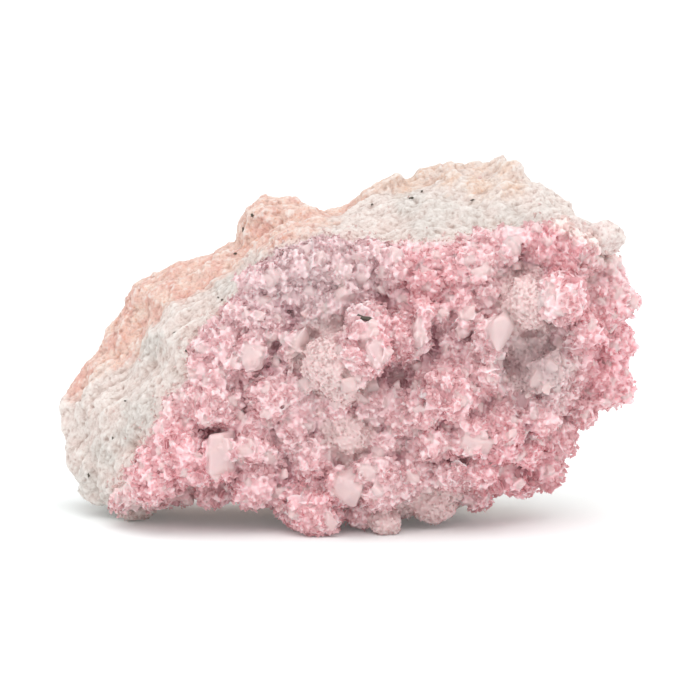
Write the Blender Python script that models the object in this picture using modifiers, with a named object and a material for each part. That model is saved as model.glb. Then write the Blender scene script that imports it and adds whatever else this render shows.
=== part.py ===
"""Rhodochrosite specimen: a loose piece of vein rock whose front carries a crust of pink rhodochrosite.

matrix_rock is the broken host rock. rhodochrosite_crust grew on its front face and round its right end:
rounded rosettes of thin rhombs, with pale crystals between them, all grown together as one piece.
Everything is in metres with +Z up. The crust faces -Y, and the specimen stands on its own feet at Z = 0.

The shapes are drawn in millimetres. A place is given as it is seen from the front and VIEW_TILT above:
across from the middle, and up from the line on which the front feet stand.
"""

import math
import random

import bmesh
import bpy
from mathutils import Matrix, Vector, noise
from mathutils.bvhtree import BVHTree

MM = 0.001
NAME = "rhodochrosite_specimen"

VIEW_TILT = math.radians(9)
FEET_DEPTH = -14.6  # depth of the line on which the front feet stand
SIGHT = Vector((0, math.cos(VIEW_TILT), -math.sin(VIEW_TILT)))
SIGHT_START = -60.0  # a depth that is clear of the specimen

GAP = 0.4  # how far the rock is swollen before it is cut from the crust
COVERED_DEPTH = -9.0  # the rock in front of this depth is under the crust, and is left even
BARE_BLEND = 3.0  # over how much depth the rock turns from even to rough
CRUST_ROOT = 2.5  # how far the raw crust runs back into the rock before it is cut to it

BAND_STEP = 4.5  # spacing of the ledges that follow the rock's colour bands
BAND_HEIGHT = 0.9
PLATE_THICKNESS = 0.8
PLATE_WIDTHS = (2.4, 3.4)
BUD_RADII = (1.7, 2.5)
BUD_SPACING = 2.6

ROCK_VOXEL = 1.0
ROCK_FACES = 2400
SKIN_VOXEL = 0.7
SKIN_FACES = 3300
CRUST_FACES = 6000

# Matching stations round the outline, clockwise from the left foot.
# The edge of the crust, where it meets the bare rock: (across, up, depth, how thick the crust is there).
CRUST_EDGE = [
    (-38.0, 4.0, -3, 0.5), (-39.5, 6.5, -5, 0.3), (-36.0, 11.0, -9, 0.3), (-32.5, 16.0, -10.5, 0.3),
    (-30.0, 21.5, -11, 0.3), (-27.0, 25.0, -11.5, 0.3), (-24.0, 32.5, -11.5, 0.3), (-20.5, 38.0, -11, 0.3),
    (-15.0, 43.5, -10.5, 0.3), (-8.5, 49.0, -10, 0.3), (-1.0, 50.0, -9.5, 0.3), (8.5, 49.0, -10, 0.3),
    (17.0, 49.5, -10.5, 0.3), (26.0, 51.5, -11, 0.3), (33.5, 53.0, -12, 0.3), (39.5, 51.5, -12.5, 0.3),
    (42.5, 48.5, -10, 1.0), (41.5, 40.0, 4, 4.0), (41.5, 30.0, 5, 4.5), (39.0, 24.0, 5, 4.5),
    (34.5, 17.5, 3, 3.4), (33.0, 13.0, 2, 3.6), (27.0, 10.0, 0, 3.0), (15.5, 7.0, -4, 2.8),
    (7.0, 5.5, -8, 2.6), (-5.0, 6.0, -8, 2.6), (-15.5, 8.5, -7, 2.6), (-25.0, 10.0, -5, 2.4),
    (-32.5, 6.5, -3, 1.6),
]
# The rock's own widest line, which lies behind that edge: (across, up, depth).
ROCK_RIM = [
    (-40.5, 3.0, 1), (-45.0, 5.5, 4), (-48.0, 9.5, 7), (-49.5, 16.0, 9), (-52.0, 24.0, 11),
    (-47.5, 30.0, 13), (-41.8, 35.5, 14), (-36.8, 43.0, 15), (-29.0, 46.5, 15), (-19.0, 51.0, 14.5),
    (-3.0, 56.3, 12), (6.3, 62.6, 14), (15.0, 65.2, 15), (28.5, 65.2, 14), (34.0, 59.0, 9),
    (39.5, 55.0, 3), (46.0, 52.0, -4), (40.5, 40.0, 11), (40.5, 30.0, 12), (38.0, 24.0, 12),
    (33.0, 17.5, 10), (31.0, 14.0, 10), (26.0, 10.0, 10), (15.0, 3.4, 10), (7.0, 3.2, 10),
    (-8.0, 3.4, 11), (-15.0, 9.5, 12), (-25.0, 11.0, 11), (-34.5, 7.0, 7),
]
MIDDLE = Vector((2.0, 31.0))  # the place towards which inner and back sections shrink

# Lumps of the bare rock: (across, up, depth, radius).
ROCK_LUMPS = [
    (-13.8, 54.0, 12, 4.2), (-8.6, 54.2, 11.5, 4.0), (-15.0, 51.5, 12, 3.8), (-5.4, 54.2, 11, 3.2),  # the knob
    (-33.5, 39.8, 12, 4.0), (-29.5, 42.0, 12, 4.2), (-38.6, 34.0, 10, 3.6),  # the shoulder at the left
    (29.0, 61.8, 11, 3.6), (18.5, 62.0, 12, 3.8), (9.2, 60.2, 12, 3.8), (32.5, 57.0, 7, 4.0),  # the crest
    (44.8, 51.0, -8, 3.8), (39.5, 52.0, -7, 3.8), (35.0, 53.0, -5, 4.0),  # the ledge over the right end
    (-35.5, 5.2, 0, 3.6), (-39.5, 6.5, 2, 3.8), (-43.5, 8.6, 4, 3.8),  # the left foot
    (4.0, 5.2, 9, 5.4), (-2.0, 6.0, 10, 5.0), (10.0, 6.0, 9, 5.0),  # the rear foot
    (-20.0, 26.0, 15, 6.0), (14.0, 33.0, 15, 7.0), (2.0, 14.0, 14, 6.0), (-32.0, 22.0, 13, 5.5),  # the back
]

# Rosettes of the crust: (across, up, radius, how far it stands out, kind).
ROSETTES = [
    # the upper left, fine and blocky near the bare rock
    (-14.6, 42.8, 3.8, 2.6, "petal"), (-8.6, 46.8, 3.0, 1.6, "block"), (-2.6, 45.1, 3.6, 1.0, "block"),
    (-15.1, 37.2, 3.4, 3.0, "petal"), (-18.9, 32.5, 3.4, 2.4, "block"), (3.4, 46.8, 3.4, 1.3, "block"),
    (-0.9, 40.2, 3.0, 1.1, "block"), (-6.0, 40.2, 2.8, 1.1, "block"), (-18.5, 38.0, 2.6, 1.7, "block"),
    # along the top
    (8.6, 45.8, 3.4, 3.3, "petal"), (13.8, 42.8, 3.0, 2.6, "petal"), (18.9, 44.5, 3.0, 2.1, "petal"),
    (24.1, 46.8, 3.1, 2.1, "petal"), (25.0, 42.0, 3.0, 1.9, "block"), (19.8, 40.2, 2.6, 1.9, "block"),
    (12.9, 40.2, 2.6, 1.9, "block"), (33.5, 50.0, 3.0, 2.1, "petal"), (38.7, 49.4, 2.6, 1.9, "petal"),
    # the knob in the middle
    (-2.2, 29.9, 5.6, 8.4, "frost"), (3.1, 31.3, 4.2, 9.8, "petal"), (3.8, 36.3, 3.9, 7.6, "petal"),
    (10.7, 34.2, 4.2, 6.2, "petal"), (0.0, 25.6, 3.2, 6.2, "frost"),
    # the great cluster at the right end
    (31.3, 39.9, 5.0, 7.6, "frost"), (36.5, 40.9, 4.6, 9.1, "petal"), (43.6, 41.2, 5.4, 6.9, "petal"),
    (45.6, 33.4, 4.2, 4.8, "petal"), (44.6, 26.6, 5.4, 5.5, "petal"), (38.7, 35.0, 3.6, 6.9, "petal"),
    (33.5, 29.0, 4.2, 2.6, "frost"), (26.7, 35.0, 3.0, 2.6, "block"), (40.4, 21.5, 2.9, 3.3, "petal"),
    (44.5, 46.5, 2.8, 3.3, "petal"),
    # the middle of the face
    (18.0, 24.4, 5.8, 6.2, "petal"), (13.8, 22.2, 3.4, 4.8, "petal"), (23.2, 27.3, 3.4, 4.0, "petal"),
    (21.5, 19.6, 3.4, 4.0, "petal"), (27.0, 18.7, 4.0, 4.5, "petal"), (32.7, 20.5, 3.4, 4.0, "petal"),
    (36.6, 17.0, 3.2, 3.3, "petal"), (15.5, 16.7, 3.6, 4.0, "petal"), (10.7, 19.6, 2.8, 2.6, "block"),
    (6.5, 15.3, 3.0, 2.1, "block"), (0.9, 17.5, 4.0, 4.0, "frost"), (4.3, 22.7, 3.0, 2.6, "block"),
    (-0.9, 21.7, 2.8, 2.6, "block"), (-8.6, 25.1, 2.6, 2.6, "block"), (-12.4, 23.6, 4.0, 4.0, "petal"),
    (-8.6, 18.2, 3.0, 2.6, "block"), (-4.8, 14.1, 3.3, 3.3, "petal"),
    # the left end
    (-22.0, 22.2, 4.0, 4.0, "petal"), (-27.5, 13.6, 5.3, 4.0, "petal"), (-31.8, 9.3, 3.4, 2.6, "petal"),
    (-21.5, 26.8, 2.8, 1.9, "block"), (-15.1, 17.0, 2.6, 2.6, "block"),
    # along the bottom
    (-15.5, 9.2, 4.6, 4.8, "block"), (-22.0, 7.9, 3.2, 2.6, "petal"), (-27.5, 6.8, 3.2, 2.6, "petal"),
    (-32.5, 6.2, 2.9, 1.9, "petal"), (-10.0, 6.2, 2.9, 2.6, "block"), (-4.8, 5.4, 5.0, 6.2, "petal"),
    (-8.6, 4.4, 2.9, 3.3, "petal"), (6.0, 9.6, 5.0, 5.5, "petal"), (7.2, 3.2, 3.1, 5.5, "frost"),
    (2.6, 4.2, 2.8, 2.6, "block"), (15.5, 5.6, 4.2, 4.0, "frost"), (11.2, 11.0, 3.0, 2.6, "petal"),
    (18.0, 11.4, 3.2, 2.6, "petal"), (22.7, 11.4, 3.2, 3.3, "petal"), (22.7, 7.2, 3.2, 2.6, "block"),
    (27.9, 10.6, 3.5, 3.3, "petal"), (30.5, 8.6, 3.0, 2.6, "petal"), (35.0, 11.4, 3.2, 3.3, "petal"),
    (25.8, 15.3, 3.2, 3.3, "petal"), (31.0, 14.8, 2.8, 2.6, "block"), (38.0, 10.8, 2.8, 2.6, "petal"),
    (37.6, 14.4, 2.8, 2.6, "petal"),
]

# Pale crystals that stand between the rosettes: (across, up, width, height, lean in degrees).
CRYSTALS = [
    (-21.3, 13.6, 4.6, 6.9, 8), (-16.3, 14.4, 5.0, 3.3, -8), (-12.6, 13.9, 1.9, 1.7, 30),
    (-15.4, 30.9, 4.0, 4.0, 40), (-12.7, 34.5, 2.1, 2.2, 0), (-8.1, 32.9, 3.4, 3.3, 20),
    (-11.9, 43.5, 3.1, 3.1, 45), (-4.2, 46.1, 1.9, 2.1, 10), (0.2, 40.5, 2.4, 2.2, 30),
    (-0.2, 44.4, 2.1, 2.1, 0), (20.7, 37.4, 2.6, 2.4, 15), (16.3, 37.8, 2.4, 1.9, 0),
    (19.8, 35.0, 2.1, 2.2, 25), (21.2, 47.0, 2.2, 1.9, 40), (28.3, 49.0, 2.9, 2.9, 5),
    (22.9, 44.5, 2.4, 1.7, 20), (13.0, 35.6, 2.2, 6.0, -5), (5.7, 31.2, 3.8, 3.6, 35),
    (1.5, 26.0, 3.3, 2.6, 15), (3.6, 34.3, 3.8, 2.6, 0), (22.2, 15.7, 5.4, 4.3, 0),
    (0.2, 9.9, 4.8, 5.0, 12), (4.0, 11.2, 2.8, 3.1, 30), (25.5, 34.5, 4.1, 6.2, -6),
    (24.4, 29.0, 2.1, 5.2, 0), (33.5, 27.8, 4.6, 5.4, 25), (-10.5, 8.2, 2.8, 1.9, 0),
    (45.9, 35.5, 2.4, 2.6, 20), (-6.4, 25.8, 2.1, 2.1, 45), (-18.9, 29.6, 2.2, 2.0, 20),
]
CRYSTAL_ROOT = 2.0  # how much deeper a pale crystal goes than it is wide
CRYSTAL_TIP = 0.5  # radians by which one may lean out of the surface


def clear_scene():
    """Remove whatever the file holds."""
    for thing in list(bpy.data.objects):
        bpy.data.objects.remove(thing, do_unlink=True)


def new_collection(name):
    """A collection of that name in the scene."""
    made = bpy.data.collections.new(name)
    bpy.context.scene.collection.children.link(made)
    return made


def new_material(name, colour, roughness):
    """A plain material of one colour, given as linear RGB."""
    made = bpy.data.materials.new(name)
    made.use_nodes = True
    shader = made.node_tree.nodes["Principled BSDF"]
    shader.inputs["Base Color"].default_value = (*colour, 1)
    shader.inputs["Roughness"].default_value = roughness
    shader.inputs["Metallic"].default_value = 0
    return made


def seen(across, up, depth):
    """The point that is seen at that place, at that depth."""
    height = (up - (depth - FEET_DEPTH) * math.sin(VIEW_TILT)) / math.cos(VIEW_TILT)
    return Vector((across, depth, height))


def section(stations, size=1.0, depth=None, sink=0.0):
    """A ring through the stations, drawn in towards MIDDLE, and set at one depth or moved back by sink."""
    ring = []
    for across, up, own_depth, *_ in stations:
        place = MIDDLE + (Vector((across, up)) - MIDDLE) * size
        ring.append(seen(*place, own_depth + sink if depth is None else depth))
    return ring


def crust_rim(sink):
    """The crust's edge, moved out by the crust's own thickness at each station, and back by sink."""
    ring = []
    for across, up, depth, thickness in CRUST_EDGE:
        place = Vector((across, up))
        place += (place - MIDDLE).normalized() * thickness
        ring.append(seen(*place, depth + sink))
    return ring


def add_loft(model, rings):
    """Bridge each ring of points to the next, and close both ends."""
    loops = []
    for ring in rings:
        points = [model.verts.new(point) for point in ring]
        edges = [model.edges.new((points[i - 1], points[i])) for i in range(len(points))]
        loops.append((points, edges))
    for (_, near), (_, far) in zip(loops, loops[1:]):
        bmesh.ops.bridge_loops(model, edges=near + far)
    for points, _ in (loops[0], loops[-1]):
        cap = model.faces.new(points)
        bmesh.ops.triangulate(model, faces=[cap])


def add_lump(model, centre, radius, rng):
    """A rough ball of flat facets."""
    made = bmesh.ops.create_icosphere(model, subdivisions=2, radius=radius)
    turn = Matrix.Rotation(rng.uniform(0, math.tau), 3, "Z") @ Matrix.Rotation(rng.uniform(0, math.tau), 3, "X")
    for vertex in made["verts"]:
        vertex.co = turn @ vertex.co * (1 + rng.uniform(-0.12, 0.08)) + centre


def add_rhomb(model, centre, sides, turn):
    """A crystal with six flat rhombic faces: a box sheared along its own axes, then turned."""
    lean = Matrix(((1, 0.28, 0.1), (0, 1, 0.12), (0, 0, 1)))
    made = bmesh.ops.create_cube(model, size=1)
    for vertex in made["verts"]:
        corner = Vector(vertex.co[i] * sides[i] for i in range(3))
        vertex.co = turn @ (lean @ corner) + centre


def add_plates(model, centre, outward, radius, rng):
    """Thin rhombs that stand on edge round a rosette, with a corner out of its surface."""
    for _ in range(max(1, round(0.2 * radius * radius))):
        way = Vector(rng.gauss(0, 1) for _ in range(3)).normalized()
        way = (way + outward * 1.3).normalized()
        turn = facing(way, rng.uniform(0, math.pi)) @ Matrix.Rotation(math.radians(45), 3, "Y")
        width = rng.uniform(*PLATE_WIDTHS)
        add_rhomb(model, centre + way * (radius - 0.3 * width), (width, PLATE_THICKNESS, width), turn)


def facing(way, spin):
    """The turn that points +Z that way, after a spin about it."""
    return way.to_track_quat("Z", "Y").to_matrix() @ Matrix.Rotation(spin, 3, "Z")


def made_object(name, model, home):
    """An object from a bmesh."""
    bmesh.ops.recalc_face_normals(model, faces=model.faces)
    mesh = bpy.data.meshes.new(name)
    model.to_mesh(mesh)
    model.free()
    made = bpy.data.objects.new(name, mesh)
    home.objects.link(made)
    return made


def applied(thing):
    """Replace an object's mesh by the one that its modifiers make, and drop them."""
    graph = bpy.context.evaluated_depsgraph_get()
    mesh = bpy.data.meshes.new_from_object(thing.evaluated_get(graph))
    thing.modifiers.clear()
    thing.data = mesh


def melt(thing, voxel):
    """Join overlapping shapes into one skin."""
    skin = thing.modifiers.new("skin", "REMESH")
    skin.mode = "VOXEL"
    skin.voxel_size = voxel
    applied(thing)


def thin_out(thing, faces):
    """Collapse edges until about that many triangles are left."""
    triangles = sum(len(face.vertices) - 2 for face in thing.data.polygons)
    fewer = thing.modifiers.new("fewer", "DECIMATE")
    fewer.ratio = min(1.0, faces / triangles)
    applied(thing)


def combine(thing, other, operation):
    """Join another object to this one, or cut it away."""
    change = thing.modifiers.new(operation.lower(), "BOOLEAN")
    change.operation = operation
    change.solver = "EXACT"
    change.use_self = operation == "UNION"
    change.object = other
    applied(thing)


def keep_largest(thing):
    """Delete every loose scrap but the largest body."""
    model = bmesh.new()
    model.from_mesh(thing.data)
    left = set(model.verts)
    bodies = []
    while left:
        body = [left.pop()]
        for vertex in body:
            joined = {edge.other_vert(vertex) for edge in vertex.link_edges} & left
            left -= joined
            body.extend(joined)
        bodies.append(body)
    bodies.sort(key=len)
    bmesh.ops.delete(model, geom=[vertex for body in bodies[:-1] for vertex in body], context="VERTS")
    model.to_mesh(thing.data)
    model.free()


def push_out(thing, height_at):
    """Move each vertex along its normal by the height that a function gives for its place."""
    mesh = thing.data
    normals = [vertex.normal.copy() for vertex in mesh.vertices]
    for vertex, normal in zip(mesh.vertices, normals):
        vertex.co += normal * height_at(vertex.co)


def bare(place):
    """0 on the rock under the crust, 1 on the bare rock."""
    return min(1.0, max(0.0, (place.y - COVERED_DEPTH) / BARE_BLEND))


def break_up(rock):
    """Give the bare rock its hackly fracture, and ledges along its colour bands."""
    for grain, height in ((16.0, 2.6), (7.0, 1.5), (3.5, 0.7)):
        shift = Vector((grain, 2 * grain, 3 * grain))
        push_out(rock, lambda place: height * bare(place) * noise.noise(place / grain + shift))

    def ledge(place):
        along = (place.y + 1.6 * noise.noise(place / 14.0)) / BAND_STEP
        return BAND_HEIGHT * bare(place) * (along % 1.0 - 0.5)

    push_out(rock, ledge)


def surface_of(thing):
    """A search tree over an object's faces."""
    return BVHTree.FromObject(thing, bpy.context.evaluated_depsgraph_get())


def place_on(surface, across, up):
    """Where the line of sight at that place meets a surface, and the way out of it there."""
    point, normal, _, _ = surface.ray_cast(seen(across, up, SIGHT_START), SIGHT)
    if point is None:
        point, normal, _, _ = surface.find_nearest(seen(across, up, -4))
    return point, (normal - SIGHT).normalized()


def within_edge(across, up):
    """Whether a place is inside the crust's edge."""
    inside = False
    for (ax, ay, *_), (bx, by, *_) in zip(CRUST_EDGE, CRUST_EDGE[1:] + CRUST_EDGE[:1]):
        if (ay > up) != (by > up) and across < (bx - ax) * (up - ay) / (by - ay) + ax:
            inside = not inside
    return inside


def bud_places(rng):
    """Places on the crust that are clear of the rosettes and of each other."""
    places = []
    for _ in range(4000):
        across = rng.uniform(-40, 46)
        up = rng.uniform(3, 54)
        on_rosette = any(math.hypot(across - x, up - y) < 0.85 * r for x, y, r, *_ in ROSETTES)
        crowded = any(math.hypot(across - x, up - y) < BUD_SPACING for x, y in places)
        if within_edge(across, up) and not on_rosette and not crowded:
            places.append((across, up))
    return places


def build_rock(home):
    """The host rock: a slab, rough and stepped where it is bare."""
    model = bmesh.new()
    add_loft(model, [
        section(CRUST_EDGE, 0.45, -12.5),
        section(CRUST_EDGE, 0.9, -11.5),
        section(CRUST_EDGE),
        section(ROCK_RIM),
        section(ROCK_RIM, 0.93, 18),
        section(ROCK_RIM, 0.6, 20.5),
    ])
    rng = random.Random(5)
    for across, up, depth, radius in ROCK_LUMPS:
        add_lump(model, seen(across, up, depth), radius, rng)
    rock = made_object("matrix_rock", model, home)
    melt(rock, ROCK_VOXEL)
    break_up(rock)
    thin_out(rock, ROCK_FACES)
    return rock


def build_crust(home, helpers):
    """The crust: a skin over the front, rosettes and buds on it, and pale crystals between them."""
    model = bmesh.new()
    add_loft(model, [
        section(CRUST_EDGE, 0.93, sink=CRUST_ROOT),
        crust_rim(0.5),
        crust_rim(-2.0),
        section(CRUST_EDGE, 0.9, -14.6),
        section(CRUST_EDGE, 0.45, -15.6),
    ])
    crust = made_object("rhodochrosite_crust", model, home)
    front = surface_of(crust)
    rng = random.Random(11)
    lumps = bmesh.new()
    lumps.from_mesh(crust.data)
    crystals = bmesh.new()
    for across, up, radius, stands_out, kind in ROSETTES:
        point, outward = place_on(front, across, up)
        centre = point + outward * (stands_out - radius)
        add_lump(lumps, centre, radius, rng)
        if kind == "petal":
            add_plates(crystals, centre, outward, radius, rng)
    for across, up in bud_places(rng):
        point, outward = place_on(front, across, up)
        radius = rng.uniform(*BUD_RADII)
        add_lump(lumps, point + outward * (1.3 - radius), radius, rng)
    lumps.to_mesh(crust.data)
    lumps.free()
    melt(crust, SKIN_VOXEL)
    thin_out(crust, SKIN_FACES)
    front = surface_of(crust)
    for across, up, width, height, lean in CRYSTALS:
        point, outward = place_on(front, across, up)
        turn = facing(outward, math.radians(lean))
        turn @= Matrix.Rotation(rng.uniform(-CRYSTAL_TIP, CRYSTAL_TIP), 3, "X")
        turn @= Matrix.Rotation(rng.uniform(-CRYSTAL_TIP, CRYSTAL_TIP), 3, "Y")
        add_rhomb(crystals, point, (width, height, 0.5 * (width + height) + CRYSTAL_ROOT), turn)
    combine(crust, made_object("crystals", crystals, helpers), "UNION")
    thin_out(crust, CRUST_FACES)
    return crust


def part_from_rock(crust, rock, helpers):
    """Cut the crust clear of the rock that it grew on."""
    swollen = rock.copy()
    swollen.data = rock.data.copy()
    swollen.name = "swollen_rock"
    helpers.objects.link(swollen)
    push_out(swollen, lambda place: GAP)
    combine(crust, swollen, "DIFFERENCE")


def cut_at_floor(things, helpers):
    """Cut away what would reach below the surface that the specimen stands on, and leave flat feet."""
    model = bmesh.new()
    bmesh.ops.create_cube(model, size=200)
    bmesh.ops.translate(model, verts=model.verts, vec=(0, 0, -100))
    floor = made_object("floor_cutter", model, helpers)
    for thing in things:
        combine(thing, floor, "DIFFERENCE")
        keep_largest(thing)


def finish_at_origin(things):
    """Turn millimetres to metres, with the middle of the whole footprint at the origin."""
    places = [vertex.co for thing in things for vertex in thing.data.vertices]
    middle = [(min(place[i] for place in places) + max(place[i] for place in places)) / 2 for i in range(2)]
    to_origin = Matrix.Translation((-middle[0], -middle[1], 0))
    for thing in things:
        thing.data.transform(Matrix.Scale(MM, 4) @ to_origin)


def main():
    clear_scene()
    parts = new_collection(NAME)
    helpers = new_collection("cutters")
    rock = build_rock(parts)
    crust = build_crust(parts, helpers)
    part_from_rock(crust, rock, helpers)
    cut_at_floor((rock, crust), helpers)
    finish_at_origin((rock, crust))
    rock.data.materials.clear()
    rock.data.materials.append(new_material("vein rock", (0.76, 0.68, 0.64), 0.85))
    crust.data.materials.clear()
    crust.data.materials.append(new_material("rhodochrosite", (0.78, 0.47, 0.52), 0.45))
    for thing in list(helpers.objects):
        bpy.data.objects.remove(thing, do_unlink=True)


main()
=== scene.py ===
"""Dresses the rhodochrosite specimen in Blender: the vein rock, and the crust of pink rhodochrosite on it.

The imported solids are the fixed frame. The rock and the crust's ground are finer skins of those solids.
Thin curved plates, small rhombs, frosted lobes and pale crystals grow on the ground, as the real druse does.
Lengths in the working are millimetres, and a mesh is turned to metres when it is made.
"""

import functools
import math

import bmesh
import bpy
import numpy as np
from mathutils import Matrix, Vector, noise
from mathutils.bvhtree import BVHTree
from mathutils.kdtree import KDTree


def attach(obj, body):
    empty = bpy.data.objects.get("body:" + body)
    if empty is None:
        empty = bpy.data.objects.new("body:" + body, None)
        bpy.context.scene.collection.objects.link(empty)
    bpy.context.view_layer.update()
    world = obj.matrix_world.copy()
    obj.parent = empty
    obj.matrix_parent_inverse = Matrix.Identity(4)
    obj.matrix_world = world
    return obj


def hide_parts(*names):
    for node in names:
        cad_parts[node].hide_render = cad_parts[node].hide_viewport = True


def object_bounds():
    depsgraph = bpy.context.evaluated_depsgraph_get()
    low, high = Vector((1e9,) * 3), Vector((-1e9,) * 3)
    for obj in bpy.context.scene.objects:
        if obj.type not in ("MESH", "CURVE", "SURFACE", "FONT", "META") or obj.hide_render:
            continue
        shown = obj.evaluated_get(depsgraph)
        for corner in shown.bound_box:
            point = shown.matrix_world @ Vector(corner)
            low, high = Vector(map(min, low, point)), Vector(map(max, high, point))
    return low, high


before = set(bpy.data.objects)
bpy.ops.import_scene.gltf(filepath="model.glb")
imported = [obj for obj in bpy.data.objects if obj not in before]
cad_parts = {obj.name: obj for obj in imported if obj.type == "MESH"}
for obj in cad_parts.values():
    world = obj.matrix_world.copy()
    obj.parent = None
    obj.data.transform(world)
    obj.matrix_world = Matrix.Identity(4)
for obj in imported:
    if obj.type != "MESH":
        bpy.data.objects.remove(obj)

bl_info = {
    "name": "Rhodochrosite specimen",
    "version": (1, 0, 0),
    "blender": (4, 5, 0),
    "location": "View3D > Sidebar > Specimen",
    "description": "Grows the plates, crystals and rock surface of a rhodochrosite specimen on its solids",
    "category": "Add Mesh",
}

CAD_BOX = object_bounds()
MM = 0.001
ROCK = "matrix_rock"
CRUST = "rhodochrosite_crust"

# The solids' own drawing frame: a place across and up as it is seen from VIEW_TILT above the front.
VIEW_TILT = math.radians(9)
FEET_DEPTH = -14.6
ORIGIN_SHIFT = (-0.599, 1.996)
SIGHT = Vector((0, math.cos(VIEW_TILT), -math.sin(VIEW_TILT)))
SIGHT_START = -60.0

# How steeply the rock's bands rise to the right, and how many times longer than wide they are.
BAND_SLOPE = math.radians(38)
BAND_STRETCH = 4.0

# Rosettes of the crust, as in the solids: (across, up, radius, how far it stands out, kind).
ROSETTES = [
    # the upper left, fine and blocky near the bare rock
    (-14.6, 42.8, 3.8, 2.6, "petal"), (-8.6, 46.8, 3.0, 1.6, "block"), (-2.6, 45.1, 3.6, 1.0, "block"),
    (-15.1, 37.2, 3.4, 3.0, "petal"), (-18.9, 32.5, 3.4, 2.4, "block"), (3.4, 46.8, 3.4, 1.3, "block"),
    (-0.9, 40.2, 3.0, 1.1, "block"), (-6.0, 40.2, 2.8, 1.1, "block"), (-18.5, 38.0, 2.6, 1.7, "block"),
    # along the top
    (8.6, 45.8, 3.4, 3.3, "petal"), (13.8, 42.8, 3.0, 2.6, "petal"), (18.9, 44.5, 3.0, 2.1, "petal"),
    (24.1, 46.8, 3.1, 2.1, "petal"), (25.0, 42.0, 3.0, 1.9, "block"), (19.8, 40.2, 2.6, 1.9, "block"),
    (12.9, 40.2, 2.6, 1.9, "block"), (33.5, 50.0, 3.0, 2.1, "petal"), (38.7, 49.4, 2.6, 1.9, "petal"),
    # the knob in the middle
    (-2.2, 29.9, 5.6, 8.4, "frost"), (3.1, 31.3, 4.2, 9.8, "petal"), (3.8, 36.3, 3.9, 7.6, "petal"),
    (10.7, 34.2, 4.2, 6.2, "petal"), (0.0, 25.6, 3.2, 6.2, "frost"),
    # the great cluster at the right end
    (31.3, 39.9, 5.0, 7.6, "frost"), (36.5, 40.9, 4.6, 9.1, "petal"), (43.6, 41.2, 5.4, 6.9, "petal"),
    (45.6, 33.4, 4.2, 4.8, "petal"), (44.6, 26.6, 5.4, 5.5, "petal"), (38.7, 35.0, 3.6, 6.9, "petal"),
    (33.5, 29.0, 4.2, 2.6, "frost"), (26.7, 35.0, 3.0, 2.6, "block"), (40.4, 21.5, 2.9, 3.3, "petal"),
    (44.5, 46.5, 2.8, 3.3, "petal"),
    # the middle of the face
    (18.0, 24.4, 5.8, 6.2, "petal"), (13.8, 22.2, 3.4, 4.8, "petal"), (23.2, 27.3, 3.4, 4.0, "petal"),
    (21.5, 19.6, 3.4, 4.0, "petal"), (27.0, 18.7, 4.0, 4.5, "petal"), (32.7, 20.5, 3.4, 4.0, "petal"),
    (36.6, 17.0, 3.2, 3.3, "petal"), (15.5, 16.7, 3.6, 4.0, "petal"), (10.7, 19.6, 2.8, 2.6, "block"),
    (6.5, 15.3, 3.0, 2.1, "block"), (0.9, 17.5, 4.0, 4.0, "frost"), (4.3, 22.7, 3.0, 2.6, "block"),
    (-0.9, 21.7, 2.8, 2.6, "block"), (-8.6, 25.1, 2.6, 2.6, "block"), (-12.4, 23.6, 4.0, 4.0, "petal"),
    (-8.6, 18.2, 3.0, 2.6, "block"), (-4.8, 14.1, 3.3, 3.3, "petal"),
    # the left end
    (-22.0, 22.2, 4.0, 4.0, "petal"), (-27.5, 13.6, 5.3, 4.0, "petal"), (-31.8, 9.3, 3.4, 2.6, "petal"),
    (-21.5, 26.8, 2.8, 1.9, "block"), (-15.1, 17.0, 2.6, 2.6, "block"),
    # along the bottom
    (-15.5, 9.2, 4.6, 4.8, "block"), (-22.0, 7.9, 3.2, 2.6, "petal"), (-27.5, 6.8, 3.2, 2.6, "petal"),
    (-32.5, 6.2, 2.9, 1.9, "petal"), (-10.0, 6.2, 2.9, 2.6, "block"), (-4.8, 5.4, 5.0, 6.2, "petal"),
    (-8.6, 4.4, 2.9, 3.3, "petal"), (6.0, 9.6, 5.0, 5.5, "petal"), (7.2, 3.2, 3.1, 5.5, "frost"),
    (2.6, 4.2, 2.8, 2.6, "block"), (15.5, 5.6, 4.2, 4.0, "frost"), (11.2, 11.0, 3.0, 2.6, "petal"),
    (18.0, 11.4, 3.2, 2.6, "petal"), (22.7, 11.4, 3.2, 3.3, "petal"), (22.7, 7.2, 3.2, 2.6, "block"),
    (27.9, 10.6, 3.5, 3.3, "petal"), (30.5, 8.6, 3.0, 2.6, "petal"), (35.0, 11.4, 3.2, 3.3, "petal"),
    (25.8, 15.3, 3.2, 3.3, "petal"), (31.0, 14.8, 2.8, 2.6, "block"), (38.0, 10.8, 2.8, 2.6, "petal"),
    (37.6, 14.4, 2.8, 2.6, "petal"),
]

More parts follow.
